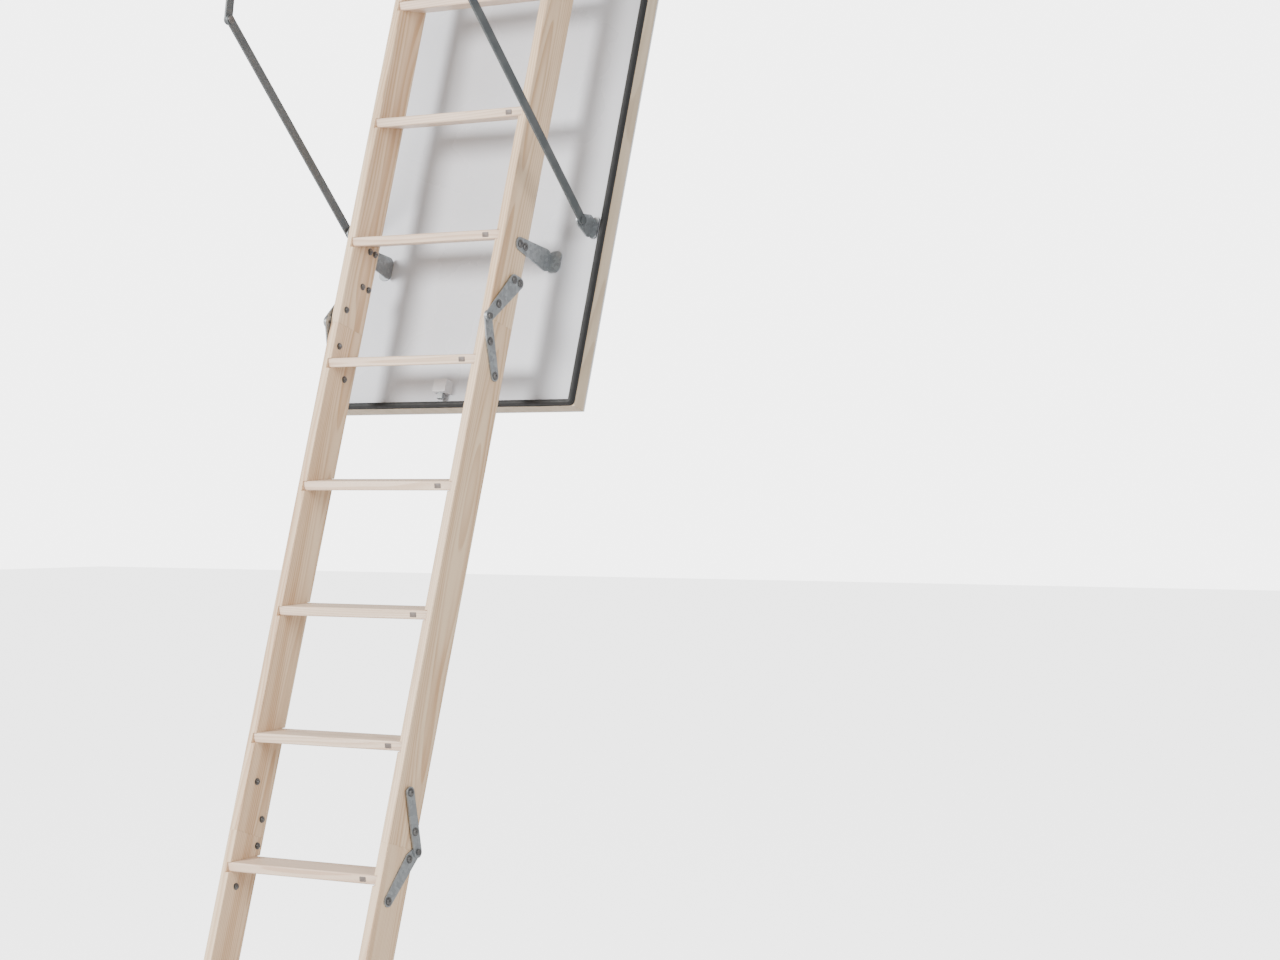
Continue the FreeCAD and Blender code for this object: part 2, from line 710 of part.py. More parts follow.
def arm_pivot_plate(side):
    """The plate on the box side that carries the top pivot of the upper arm."""
    half = size("pivot_plate") / 2
    pin = size("arm_pin_radius")
    reach = half - PLATE_CORNER
    corners = [(arms.top[0] + a * reach, arms.top[1] + b * reach)
               for a in (-1, 1) for b in (-1, 1)]
    start = layer_start(side, arms.plate_near, size("pivot_plate_thickness"))
    plate = rounded_plate(corners, PLATE_CORNER, start, size("pivot_plate_thickness"))
    stud = drum(pin, side, arms.upper_near - ARM_CAP, box_inside, *arms.top)
    cap = drum(pin + PIN_RIM, side, arms.upper_near - ARM_CAP - 1, arms.upper_near - CAP_PLAY, *arms.top)
    return plate.fuse([stud, cap])


def upper_arm(label, side):
    """A flat bar from the spring lug past the top pivot to the elbow."""
    pin = size("arm_pin_radius")
    thick = size("arm_thickness")
    start = layer_start(side, arms.upper_near, thick)
    bar = rounded_plate([arms.lug, arms.elbow], size("arm_width") / 2, start, thick,
                        [(pin + size("pin_play"), *arms.top), (pin, *arms.elbow)])
    peg = drum(PEG_RADIUS, side, arms.upper_near - 2 * size("spring_radius"), arms.upper_near, *arms.lug)
    keep_drawn(bar.fuse(peg), label, False)
    rivet = drum(pin, side, arms.lower_near - ARM_CAP, arms.upper_near + thick, *arms.elbow)
    caps = [drum(pin + PIN_RIM, side, arms.lower_near - ARM_CAP, arms.lower_near - CAP_PLAY, *arms.elbow),
            drum(pin + PIN_RIM, side, arms.upper_near + thick, arms.upper_near + thick + ARM_CAP,
                 *arms.elbow)]
    keep_drawn(rivet.fuse(caps), label.replace("upper_arm", "elbow_rivet"), False)


def lower_arm(label, side):
    """A flat bar from the elbow to the rivet above the door bracket."""
    pin = size("arm_pin_radius")
    start = layer_start(side, arms.lower_near, size("arm_thickness"))
    bar = rounded_plate([arms.elbow, arms.foot], size("arm_width") / 2, start,
                        size("arm_thickness"), [(pin + size("pin_play"), *arms.elbow)])
    far = arms.lower_near + size("arm_thickness")
    keep_drawn(bar.fuse(drum(pin + PIN_RIM, side, far, far + ARM_CAP, *arms.foot)), label, False)


def door_arm_bracket(side):
    """The bracket on the door beside the lower arm: an upstand, a boss and a foot."""
    drop, rise = size("door_pivot_drop"), size("door_pivot_rise")
    half = size("arm_foot_length") / 2
    margin = size("bracket_margin")
    start = layer_start(side, arms.foot_near, strap)
    corners = [(-drop, rise)] + [(-drop + shift * (half - margin), margin - size("seal_gap"))
                                 for shift in (-1, 1)]
    upstand = rounded_plate(corners, margin, start, strap)
    boss = drum(size("arm_pin_radius") + PIN_RIM, side, arms.foot_near - ARM_CAP, arms.foot_near,
                -drop, rise)
    foot_plate = bracket_foot(side, arms.foot_near, size("bracket_foot") / 2, drop, half)
    return stood_on_door(upstand, side, arms.foot_near, drop).fuse([boss, foot_plate])


def springs():
    """Tension springs from the arms' pegs to pegs in the box sides."""
    radius = size("spring_radius")
    rear = (size("spring_rear_y"), size("box_pivot_z"))
    gap = SPRING_HOOK
    run = math.hypot(rear[0] - arms.lug[0], rear[1] - arms.lug[1])
    way = ((rear[0] - arms.lug[0]) / run, (rear[1] - arms.lug[1]) / run)
    pegs = []
    for word, side in SIDES:
        x = side * arms.spring_middle
        start = Vector(x, arms.lug[0] + gap * way[0], arms.lug[1] + gap * way[1])
        coil = Part.makeCylinder(radius, run - 2 * gap, start, Vector(0, *way))
        keep_drawn(coil, "tension_spring_" + word, False)
        pegs.append(drum(PEG_RADIUS, side, arms.spring_middle - radius, box_inside, *rear))
    keep_drawn(Part.makeCompound(pegs), "spring_pegs", False)


# ---------------------------------------------------------------- assembly
hatch_box()
hatch_hinges()
hatch_door()
latch()
for section, words in enumerate(("upper", "middle", "lower")):
    for word, side in SIDES:
        stringer("%s_stringer_%s" % (words, word), section, side)
for section in range(3):
    for i, drop in enumerate(tread_drops(section)):
        name = "tread_%02d" % (section * TREADS_PER_SECTION + i + 1)
        tread(name, drop)
for seam in SEAMS.values():
    fold_leaves(seam)
for word in ("upper", "lower"):
    drop = size(word + "_bracket_drop")
    pair = [stand_off_bracket(side, drop) for _, side in SIDES]
    keep_drawn(Part.makeCompound(pair), word + "_stand_off_brackets")
for word, side in SIDES:
    foot("foot_" + word, side)
    upper_arm("upper_arm_" + word, side)
    lower_arm("lower_arm_" + word, side)
keep_drawn(Part.makeCompound([arm_pivot_plate(side) for _, side in SIDES]),
           "arm_pivot_plates", False)
keep_drawn(Part.makeCompound([door_arm_bracket(side) for _, side in SIDES]), "door_arm_brackets")
springs()

seat_inner = outer_face + strap
seat_outer = outer_layer + strap
bolt_group("upper_section_bolts", [(seat_outer, *p) for p in SEAMS["upper"].bolts("above")]
           + [(seat_inner, *p) for p in bracket_points()])
bolt_group("middle_section_bolts", [(seat_inner, *p) for p in SEAMS["upper"].bolts("below")]
           + [(seat_outer, *p) for p in SEAMS["lower"].bolts("above")])
bolt_group("lower_section_bolts", [(seat_inner, *p) for p in SEAMS["lower"].bolts("below")])

# ---------------------------------------------------------------- test and write
doc.recompute()
for thing in doc.Objects:
    if "Invalid" in thing.State or "Error" in thing.State:
        raise RuntimeError("%s failed: %s" % (thing.Label, thing.State))
for thing in parts:
    if thing.Shape.isNull() or not thing.Shape.isValid() or not thing.Shape.Solids:
        raise RuntimeError("%s has no valid solid" % thing.Label)
for thing in parts:
    thing.Shape.exportStep("parts/%s.step" % thing.Label)
print("%d sub-parts written" % len(parts))
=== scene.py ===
"""Attic ladder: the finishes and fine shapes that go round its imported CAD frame.

Everything is in metres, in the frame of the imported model: +X to the climber's right,
+Y away from the climber and +Z up. The ladder leans, so pieces on it are placed in the
ladder's own directions: across it, up along it, and out of it towards the climber.
"""
import json
import logging
import math
import random
from dataclasses import dataclass
from enum import Enum
from typing import Callable, Sequence, Union

import bmesh
import bpy
from mathutils import Matrix, Vector


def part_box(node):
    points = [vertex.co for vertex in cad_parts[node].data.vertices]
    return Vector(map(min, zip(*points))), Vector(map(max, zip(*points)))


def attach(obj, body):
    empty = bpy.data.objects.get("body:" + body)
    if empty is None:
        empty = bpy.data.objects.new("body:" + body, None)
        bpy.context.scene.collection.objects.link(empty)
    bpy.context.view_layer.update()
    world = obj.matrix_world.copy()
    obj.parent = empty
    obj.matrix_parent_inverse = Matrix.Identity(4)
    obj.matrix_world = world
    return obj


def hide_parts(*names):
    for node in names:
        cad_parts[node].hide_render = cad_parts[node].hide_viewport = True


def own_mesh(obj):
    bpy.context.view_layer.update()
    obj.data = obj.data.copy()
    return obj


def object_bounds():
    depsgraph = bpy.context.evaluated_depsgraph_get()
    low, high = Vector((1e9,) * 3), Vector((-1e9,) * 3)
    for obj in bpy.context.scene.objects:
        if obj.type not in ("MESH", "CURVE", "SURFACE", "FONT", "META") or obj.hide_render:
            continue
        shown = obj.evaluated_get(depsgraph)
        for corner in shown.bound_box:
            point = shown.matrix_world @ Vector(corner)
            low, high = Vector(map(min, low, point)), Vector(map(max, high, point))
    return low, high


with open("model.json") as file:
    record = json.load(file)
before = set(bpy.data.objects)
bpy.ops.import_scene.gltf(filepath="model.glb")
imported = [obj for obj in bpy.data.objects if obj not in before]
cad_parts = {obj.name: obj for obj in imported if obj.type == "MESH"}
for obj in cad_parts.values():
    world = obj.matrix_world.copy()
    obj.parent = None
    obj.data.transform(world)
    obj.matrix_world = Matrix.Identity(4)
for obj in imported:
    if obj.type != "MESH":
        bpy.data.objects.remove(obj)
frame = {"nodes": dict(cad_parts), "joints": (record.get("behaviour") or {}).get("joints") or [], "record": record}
CAD_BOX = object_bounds()

Colour = tuple[float, float, float]
Socket = bpy.types.NodeSocket
Sockets = bpy.types.bpy_prop_collection
Material = bpy.types.Material
Node = bpy.types.Node
NodeTree = bpy.types.NodeTree
Shape = bmesh.types.BMesh
Feed = Union[Socket, float, Sequence[float]]

LOG = logging.getLogger("attic_ladder")
SIDES = ("left", "right")
SECTIONS = ("upper", "middle", "lower")
SECTION_BODIES = {"upper": "hatch_door", "middle": "middle_section", "lower": "lower_section"}
TREADS_PER_SECTION = 4
TREAD_COUNT = TREADS_PER_SECTION * len(SECTIONS)
SKY_LIGHT = 0.62
SHARP_CORNER = math.radians(35)


class GrainRun(Enum):
    """Which way the grain of a board runs."""

    UP_LADDER = "up the ladder"
    ACROSS = "across the ladder"
    ALONG_BOX = "along the hatch box"


class Drive(Enum):
    """The recess in a fastener's head, as its number of lobes and its depth share."""

    HEX_SOCKET = (6, 0.16)
    CROSS = (4, 0.42)


# ---- the ladder's own directions
def joint(name: str) -> dict:
    """A joint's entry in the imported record, by its name."""
    return next(entry for entry in frame["joints"] if entry["name"] == name)


class LadderLine:
    """The leaning line of the ladder, read from the frame's own joints."""

    def __init__(self) -> None:
        """Take the hinge axis and the direction up the ladder from the joints."""
        self.pivot = Vector(joint("hatch_swing")["pos_m"])
        self.across = Vector((1, 0, 0))
        self.up = Vector(joint("latch_slide")["axis"]).normalized()
        self.out = self.across.cross(self.up)

    def point(self, x: float, along: float, rise: float) -> Vector:
        """The point at x across, along up the ladder and rise out of it."""
        return self.pivot + self.across * x + self.up * along + self.out * rise

    def extents(self, node: str) -> tuple[Vector, Vector]:
        """Measure a CAD node in the ladder's directions.

        Args:
            node: the CAD node's name.

        Returns:
            Its lowest and highest (across, along, rise).
        """
        spots = [vertex.co - self.pivot for vertex in frame["nodes"][node].data.vertices]
        reach = [[spot.dot(way) for spot in spots] for way in (self.across, self.up, self.out)]
        return Vector(map(min, reach)), Vector(map(max, reach))


LINE = LadderLine()


# ---- shader node helpers
class Tree:
    """A node tree with short ways to add nodes and to join them."""

    def __init__(self, tree: NodeTree) -> None:
        """Wrap a material's tree or a group's."""
        self.tree = tree

    def feed(self, socket: Socket, given: Feed) -> None:
        """Link a socket, or set its value.

        Args:
            socket: the input to feed.
            given: another node's output, a number or a colour.
        """
        if isinstance(given, Socket):
            self.tree.links.new(given, socket)
        elif isinstance(given, (int, float)):
            socket.default_value = given
        else:
            room = len(socket.default_value)
            socket.default_value = (*given, 1.0)[:room]

    def add(self, kind: str, inputs: dict | None = None, **settings: object) -> Node:
        """Add a node.

        Args:
            kind: the node's type, without the ShaderNode prefix.
            inputs: what feeds each input, by its name or number.
            settings: the node's own properties.

        Returns:
            The node.
        """
        node = self.tree.nodes.new("ShaderNode" + kind)
        for name, value in settings.items():
            setattr(node, name, value)
        for key, given in (inputs or {}).items():
            self.feed(node.inputs[key], given)
        return node

    def math(self, operation: str, first: Feed, second: Feed = 0.0) -> Socket:
        """One sum of two numbers; returns its output."""
        return self.add("Math", {0: first, 1: second}, operation=operation).outputs[0]

    def scaled(self, vector: Feed, factors: Feed) -> Socket:
        """A vector times a vector; returns the output."""
        return self.add("VectorMath", {0: vector, 1: factors}, operation="MULTIPLY").outputs[0]

    def shifted(self, vector: Feed, step: Feed) -> Socket:
        """A vector plus a vector; returns the output."""
        return self.add("VectorMath", {0: vector, 1: step}, operation="ADD").outputs[0]

    def noise(self, vector: Feed, scale: Feed, detail: float = 3.0) -> Socket:
        """Soft noise from 0 to 1; returns its output."""
        return self.add("TexNoise", {"Vector": vector, "Scale": scale, "Detail": detail}).outputs[0]

    def ramp(self, value: Feed, low: Feed, high: Feed, start: Feed = 0.0,
             end: Feed = 1.0) -> Socket:
        """Spread a value smoothly.

        Args:
            value: the number that varies.
            low: the value that gives start.
            high: the value that gives end.
            start: what comes out at low.
            end: what comes out at high.

        Returns:
            The spread number.
        """
        node = self.add("MapRange", interpolation_type="SMOOTHSTEP")
        for key, given in zip(("Value", "From Min", "From Max", "To Min", "To Max"),
                              (value, low, high, start, end)):
            self.feed(node.inputs[key], given)
        return node.outputs[0]

    def mix(self, share: Feed, first: Feed, second: Feed) -> Socket:
        """Mix two colours.

        Args:
            share: how much of the second shows.
            first: the first colour.
            second: the second colour.

        Returns:
            The mixed colour.
        """
        node = self.add("Mix", data_type="RGBA")
        for key, given in ((0, share), (6, first), (7, second)):
            self.feed(node.inputs[key], given)
        return node.outputs[2]


class Effect:
    """A shader node group that several finishes share, built once."""

    made: dict[str, NodeTree] = {}

    @classmethod
    def group(cls, name: str, inputs: Sequence[tuple[str, str]], outputs: Sequence[tuple[str, str]],
              fill: Callable[["Tree", Sockets], dict[str, Feed]]) -> NodeTree:
        """Build a node group, or give back the one that is already there.

        Args:
            name: the group's name.
            inputs: each input's name and kind.
            outputs: each output's name and kind.
            fill: adds the group's nodes and says what feeds each output.

        Returns:
            The node group.
        """
        if name not in cls.made:
            tree = bpy.data.node_groups.new(name, "ShaderNodeTree")
            for way, sockets in (("INPUT", inputs), ("OUTPUT", outputs)):
                for label, kind in sockets:
                    tree.interface.new_socket(name=label, in_out=way, socket_type="NodeSocket" + kind)
            way_in = tree.nodes.new("NodeGroupInput")
            way_out = tree.nodes.new("NodeGroupOutput")
            work = Tree(tree)
            for label, given in fill(work, way_in.outputs).items():
                work.feed(way_out.inputs[label], given)
            cls.made[name] = tree
        return cls.made[name]


SURFACE_OUTPUTS = (("Colour", "Color"), ("Roughness", "Float"), ("Height", "Float"))


def timber_grain() -> NodeTree:
    """The growth rings, fibres, streaks and knots of a softwood board.

    Returns:
        A group that takes a place with X along the grain and the board's middle at zero.
    """
    def fill(work: Tree, given: Sockets) -> dict[str, Feed]:
        """Add the nodes of the grain; returns what feeds each output."""
        place = work.shifted(given["Place"], given["Offset"])
        slow = work.scaled(place, (1.1, 6.0, 6.0))
        sway = work.add("TexNoise", {"Vector": slow, "Scale": 1.0, "Detail": 2.0}).outputs[1]
        sway = work.scaled(work.shifted(sway, (-0.5, -0.5, -0.5)), (0.0, 0.05, 0.05))
        cells = work.add("TexVoronoi", {"Vector": work.scaled(place, (1.9, 8.5, 8.5)), "Scale": 1.0})
        chosen = work.add("SeparateColor", {0: cells.outputs["Color"]}).outputs[0]
        kept = work.math("LESS_THAN", chosen, given["Knots"])
        around = work.math("MULTIPLY", kept, work.ramp(cells.outputs["Distance"], 0.42, 0.04))
        knot = work.math("MULTIPLY", kept, work.ramp(cells.outputs["Distance"], 0.085, 0.055))
        from_pith = work.shifted(work.shifted(given["Place"], sway), given["Pith"])
        across = work.scaled(from_pith, (0.0, 1.0, 1.0))
        reach = work.add("VectorMath", {0: across}, operation="LENGTH").outputs[1]
        years = work.math("DIVIDE", reach, given["Ring Gap"])
        years = work.math("ADD", years, work.math("MULTIPLY", around, 3.2))
        years = work.math("ADD", years, work.noise(slow, 2.3, 2.0))
        season = work.math("FRACT", years)
        late = work.math("MULTIPLY", work.ramp(season, 0.25, 0.86), work.ramp(season, 1.0, 0.93))
        fibre = work.noise(work.scaled(place, (18.0, 620.0, 620.0)), 1.0, 2.0)
        streak = work.noise(work.scaled(place, (1.6, 44.0, 44.0)), 1.0, 3.0)
        broad = work.noise(work.scaled(place, (0.8, 9.0, 9.0)), 1.0, 2.0)
        shade = work.math("MULTIPLY", late, work.ramp(broad, 0.25, 0.75, 0.30, 0.85))
        shade = work.math("ADD", shade, work.ramp(streak, 0.38, 0.72, 0.0, 0.55))
        shade = work.math("ADD", shade, work.ramp(fibre, 0.3, 0.7, -0.07, 0.07))
        shade = work.math("ADD", shade, work.math("MULTIPLY", around, 0.18))
        wood = work.mix(shade, given["Light"], given["Dark"])
        wood = work.mix(work.ramp(broad, 0.3, 0.7, 0.0, 0.35), wood, given["Blush"])
        heart = work.mix(0.62, given["Dark"], (0.16, 0.07, 0.03))
        colour = work.mix(knot, wood, heart)
        rough = work.ramp(work.math("ADD", late, fibre), 0.3, 1.6, 0.50, 0.36)
        height = work.math("ADD", work.math("MULTIPLY", fibre, 0.5), work.math("MULTIPLY", late, 0.5))
        return {"Colour": colour, "Roughness": rough, "Height": height}

    inputs = (("Place", "Vector"), ("Offset", "Vector"), ("Pith", "Vector"), ("Ring Gap", "Float"),
              ("Knots", "Float"), ("Light", "Color"), ("Dark", "Color"), ("Blush", "Color"))
    return Effect.group("timber_grain", inputs, SURFACE_OUTPUTS, fill)


def mottle() -> NodeTree:
    """Soft stains and a fine skin, for paint, plastic, rubber and dull metal.

    Returns:
        A group whose sizes are in marks to the metre.
    """
    def fill(work: Tree, given: Sockets) -> dict[str, Feed]:
        """Add the nodes of the mottle; returns what feeds each output."""
        place = given["Place"]
        coarse = work.noise(place, given["Coarse"], 5.0)
        fine = work.noise(place, given["Fine"], 2.0)
        share = work.math("MULTIPLY", work.ramp(coarse, 0.38, 0.72), given["Amount"])
        colour = work.mix(share, given["Base"], given["Stain"])
        speck = work.math("MULTIPLY", work.ramp(fine, 0.3, 0.7), given["Amount"])
        colour = work.mix(work.math("MULTIPLY", speck, 0.35), colour, given["Stain"])
        rough = work.ramp(coarse, 0.3, 0.7, given["Smooth"], given["Dull"])
        return {"Colour": colour, "Roughness": rough, "Height": fine}

    inputs = (("Place", "Vector"), ("Base", "Color"), ("Stain", "Color"), ("Amount", "Float"),
              ("Coarse", "Float"), ("Fine", "Float"), ("Smooth", "Float"), ("Dull", "Float"))
    return Effect.group("mottle", inputs, SURFACE_OUTPUTS, fill)


def spangle() -> NodeTree:
    """The crystal patches and rolling marks of zinc plated sheet.

    Returns:
        A group whose patch size is in patches to the metre.
    """
    def fill(work: Tree, given: Sockets) -> dict[str, Feed]:
        """Add the nodes of the plating; returns what feeds each output."""
        place = given["Place"]
        bent = work.shifted(place, work.scaled(work.add(
            "TexNoise", {"Vector": place, "Scale": 90.0}).outputs[1], (0.006, 0.006, 0.006)))
        cells = work.add("TexVoronoi", {"Vector": bent, "Scale": given["Patches"]})
        tone = work.add("SeparateColor", {0: cells.outputs["Color"]}).outputs[1]
        rolled = work.noise(work.scaled(place, (40.0, 700.0, 40.0)), 1.0, 2.0)
        cloud = work.noise(place, 26.0, 4.0)
        share = work.math("ADD", work.math("MULTIPLY", tone, 0.55), work.math("MULTIPLY", cloud, 0.45))
        colour = work.mix(work.ramp(share, 0.2, 0.8), given["Base"], given["Shade"])
        rough = work.ramp(work.math("ADD", tone, rolled), 0.4, 1.6, 0.28, 0.52)
        height = work.math("ADD", work.math("MULTIPLY", rolled, 0.6), work.math("MULTIPLY", cloud, 0.4))
        return {"Colour": colour, "Roughness": rough, "Height": height}

    inputs = (("Place", "Vector"), ("Base", "Color"), ("Shade", "Color"), ("Patches", "Float"))
    return Effect.group("spangle", inputs, SURFACE_OUTPUTS, fill)


def edge_rub() -> NodeTree:
    """A mask of the corners that hands and boots rub.

    Returns:
        A group whose mask is 1 on rubbed edges and 0 on flats.
    """
    def fill(work: Tree, given: Sockets) -> dict[str, Feed]:
        """Add the nodes of the rub; returns what feeds each output."""
        rounded = work.add("Bevel", {"Radius": given["Reach"]}, samples=4).outputs[0]
        flat = work.add("NewGeometry").outputs["Normal"]
        turned = work.add("VectorMath", {0: rounded, 1: flat}, operation="DOT_PRODUCT").outputs[1]
        edge = work.ramp(turned, 0.995, 0.86)
        broken = work.ramp(work.noise(given["Place"], 150.0, 4.0), 0.40, 0.62)
        mask = work.math("MULTIPLY", work.math("MULTIPLY", edge, broken), given["Amount"])
        return {"Mask": mask}

    inputs = (("Place", "Vector"), ("Reach", "Float"), ("Amount", "Float"))
    return Effect.group("edge_rub", inputs, (("Mask", "Float"),), fill)


# ---- finishes
class Finish:
    """What every finish shares: a material with a Principled shader, a place and a bump."""

    @staticmethod
    def start(name: str) -> tuple[Material, Tree, Node]:
        """Begin a material.

        Args:
            name: the material's name.

        Returns:
            The material, its tree and its Principled shader.
        """
        material = bpy.data.materials.new(name)
        material.use_nodes = True
        shader = material.node_tree.nodes["Principled BSDF"]
        return material, Tree(material.node_tree), shader

    @staticmethod
    def place(work: Tree) -> Socket:
        """The surface's place on the object, which rides with it."""
        return work.add("TexCoord").outputs["Object"]

    @staticmethod
    def bump(work: Tree, shader: Node, height: Feed, depth: float) -> None:
        """Raise the skin by depth, in metres, where height goes from 0 to 1."""
        node = work.add("Bump", {"Strength": 1.0, "Distance": depth, "Height": height})
        work.feed(shader.inputs["Normal"], node.outputs[0])


@dataclass(frozen=True)
class Timber(Finish):
    """Planed softwood under a clear satin lacquer.

    Attributes:
        light: the colour of the early wood.
        dark: the colour of the late wood.
        blush: the tint of the darker patches.
        ring_gap: the width of a year's growth, in metres.
        knots: the share of possible knots that are there.
        grain_depth: how far the grain stands out, in metres.
    """

    light: Colour
    dark: Colour
    blush: Colour
    ring_gap: float = 0.0042
    knots: float = 0.22
    grain_depth: float = 0.00010

    def material(self, name: str, run: GrainRun, middle: Vector, pick: random.Random,
                 ) -> Material:
        """Make one board's own material.

        Args:
            name: the board's name.
            run: which way its grain runs.
            middle: the middle of the board.
            pick: draws this board's place in its tree.

        Returns:
            The material.
        """
        ways = {
            GrainRun.UP_LADDER: (LINE.up, -LINE.across, LINE.out),
            GrainRun.ACROSS: (Vector((1, 0, 0)), Vector((0, 1, 0)), Vector((0, 0, 1))),
            GrainRun.ALONG_BOX: (Vector((0, 1, 0)), Vector((-1, 0, 0)), Vector((0, 0, 1))),
        }[run]
        turn = Matrix(ways)
        material, work, shader = self.start(name + "_timber")
        place = work.add("Mapping", {
            "Vector": self.place(work),
            "Rotation": tuple(turn.to_euler()),
            "Location": tuple(-(turn @ middle)),
        }).outputs[0]
        angle = pick.uniform(0.0, 2.0 * math.pi)
        reach = pick.uniform(0.035, 0.075)
        grain = work.add("Group", node_tree=timber_grain())
        for key, given in (("Place", place), ("Ring Gap", self.ring_gap), ("Knots", self.knots),
                           ("Light", self.light), ("Dark", self.dark), ("Blush", self.blush),
                           ("Offset", (pick.uniform(-9, 9), pick.uniform(-3, 3), pick.uniform(-3, 3))),
                           ("Pith", (0.0, reach * math.cos(angle), reach * math.sin(angle)))):
            work.feed(grain.inputs[key], given)
        rub = work.add("Group", {"Place": place, "Reach": 0.004, "Amount": 0.45},
                       node_tree=edge_rub())
        colour = work.mix(rub.outputs["Mask"], grain.outputs["Colour"],
                          tuple(0.55 * shade for shade in self.dark))
        work.feed(shader.inputs["Base Color"], colour)
        work.feed(shader.inputs["Roughness"], grain.outputs["Roughness"])
        shader.inputs["Coat Weight"].default_value = 0.22
        shader.inputs["Coat Roughness"].default_value = 0.34
        shader.inputs["Specular IOR Level"].default_value = 0.35
        self.bump(work, shader, grain.outputs["Height"], self.grain_depth)
        return material


@dataclass(frozen=True)
class Skin(Finish):
    """A paint, plastic, rubber or dull metal, with soft stains and a fine skin.

    Attributes:
        base: its colour.
        stain: the colour of its stains.
        amount: how strongly the stains show.
        coarse: stains to the metre.
        fine: grains of its skin to the metre.
        smooth: the lowest roughness.
        dull: the highest roughness.
        depth: the height of its skin, in metres.
        metallic: 1 for bare metal.
        rubbed: how much its corners are rubbed.
        bare: what shows where it is rubbed.
    """

    base: Colour
    stain: Colour
    amount: float
    coarse: float
    fine: float
    smooth: float
    dull: float
    depth: float
    metallic: float = 0.0
    rubbed: float = 0.0
    bare: Colour = (0.5, 0.5, 0.5)

    def material(self, name: str) -> Material:
        """Make the material.

        Args:
            name: the material's name.

        Returns:
            The material.
        """
        material, work, shader = self.start(name)
        place = self.place(work)
        skin = work.add("Group", node_tree=mottle())
        for key, given in (("Place", place), ("Base", self.base), ("Stain", self.stain),
                           ("Amount", self.amount), ("Coarse", self.coarse), ("Fine", self.fine),
                           ("Smooth", self.smooth), ("Dull", self.dull)):
            work.feed(skin.inputs[key], given)
        colour = skin.outputs["Colour"]
        if self.rubbed:
            rub = work.add("Group", {"Place": place, "Reach": 0.0015, "Amount": self.rubbed},
                           node_tree=edge_rub())
            colour = work.mix(rub.outputs["Mask"], colour, self.bare)
        work.feed(shader.inputs["Base Color"], colour)
        work.feed(shader.inputs["Roughness"], skin.outputs["Roughness"])
        shader.inputs["Metallic"].default_value = self.metallic
        self.bump(work, shader, skin.outputs["Height"], self.depth)
        return material


@dataclass(frozen=True)
class ZincPlate(Finish):
    """Zinc plated pressed steel.

    Attributes:
        base: the lighter colour of the plating.
        shade: the darker one.
        patches: crystal patches to the metre.
    """

    base: Colour
    shade: Colour
    patches: float

    def material(self, name: str) -> Material:
        """Make the material.

        Args:
            name: the material's name.

        Returns:
            The material.
        """
        material, work, shader = self.start(name)
        place = self.place(work)
        sheet = work.add("Group", {"Place": place, "Base": self.base, "Shade": self.shade,
                                   "Patches": self.patches}, node_tree=spangle())
        rub = work.add("Group", {"Place": place, "Reach": 0.0012, "Amount": 0.6},
                       node_tree=edge_rub())
        colour = work.mix(rub.outputs["Mask"], sheet.outputs["Colour"], (0.52, 0.54, 0.55))
        work.feed(shader.inputs["Base Color"], colour)
        work.feed(shader.inputs["Roughness"], sheet.outputs["Roughness"])
        shader.inputs["Metallic"].default_value = 0.75
        self.bump(work, shader, sheet.outputs["Height"], 0.00006)
        return material


PINE = Timber((0.74, 0.56, 0.375), (0.46, 0.275, 0.145), (0.62, 0.42, 0.255))
TREAD_PINE = Timber((0.76, 0.60, 0.46), (0.52, 0.35, 0.235), (0.70, 0.51, 0.38), knots=0.10)
BOX_PINE = Timber((0.70, 0.53, 0.35), (0.43, 0.26, 0.14), (0.58, 0.39, 0.24), knots=0.32)
LIPPING = Timber((0.58, 0.47, 0.34), (0.40, 0.30, 0.20), (0.50, 0.40, 0.29), knots=0.0)
DOOR_PAINT = Skin((0.60, 0.61, 0.64), (0.50, 0.51, 0.54), 0.45, 3.5, 900.0, 0.24, 0.34, 0.00002)
SKIN_PAINT = Skin((0.70, 0.70, 0.70), (0.60, 0.60, 0.61), 0.35, 5.0, 900.0, 0.32, 0.42, 0.00003)
SEAL_RUBBER = Skin((0.010, 0.010, 0.010), (0.022, 0.022, 0.022), 0.5, 60.0, 1500.0, 0.6, 0.8, 0.00006)
FOOT_RUBBER = Skin((0.022, 0.022, 0.023), (0.08, 0.075, 0.07), 0.6, 45.0, 1100.0, 0.6, 0.85, 0.00012,
                   rubbed=0.5, bare=(0.14, 0.13, 0.12))
BAR_STEEL = Skin((0.105, 0.115, 0.12), (0.16, 0.165, 0.165), 0.6, 30.0, 700.0, 0.42, 0.6, 0.00005,
                 metallic=0.6, rubbed=0.5, bare=(0.40, 0.41, 0.41))
BOLT_STEEL = Skin((0.12, 0.12, 0.12), (0.22, 0.21, 0.20), 0.7, 140.0, 1800.0, 0.3, 0.5, 0.00003,
                  metallic=0.8, rubbed=0.6, bare=(0.45, 0.45, 0.44))
SPRING_STEEL = Skin((0.20, 0.195, 0.19), (0.34, 0.31, 0.27), 0.6, 90.0, 1500.0, 0.26, 0.45, 0.00002,
                    metallic=0.9)
ZINC = ZincPlate((0.36, 0.38, 0.39), (0.27, 0.285, 0.295), 150.0)
LATCH_PLASTIC = Skin((0.66, 0.66, 0.68), (0.52, 0.52, 0.54), 0.4, 40.0, 1300.0, 0.35, 0.5, 0.00003)
PLUG_PLASTIC = Skin((0.11, 0.085, 0.075), (0.20, 0.165, 0.14), 0.6, 120.0, 2200.0, 0.42, 0.62, 0.00004)


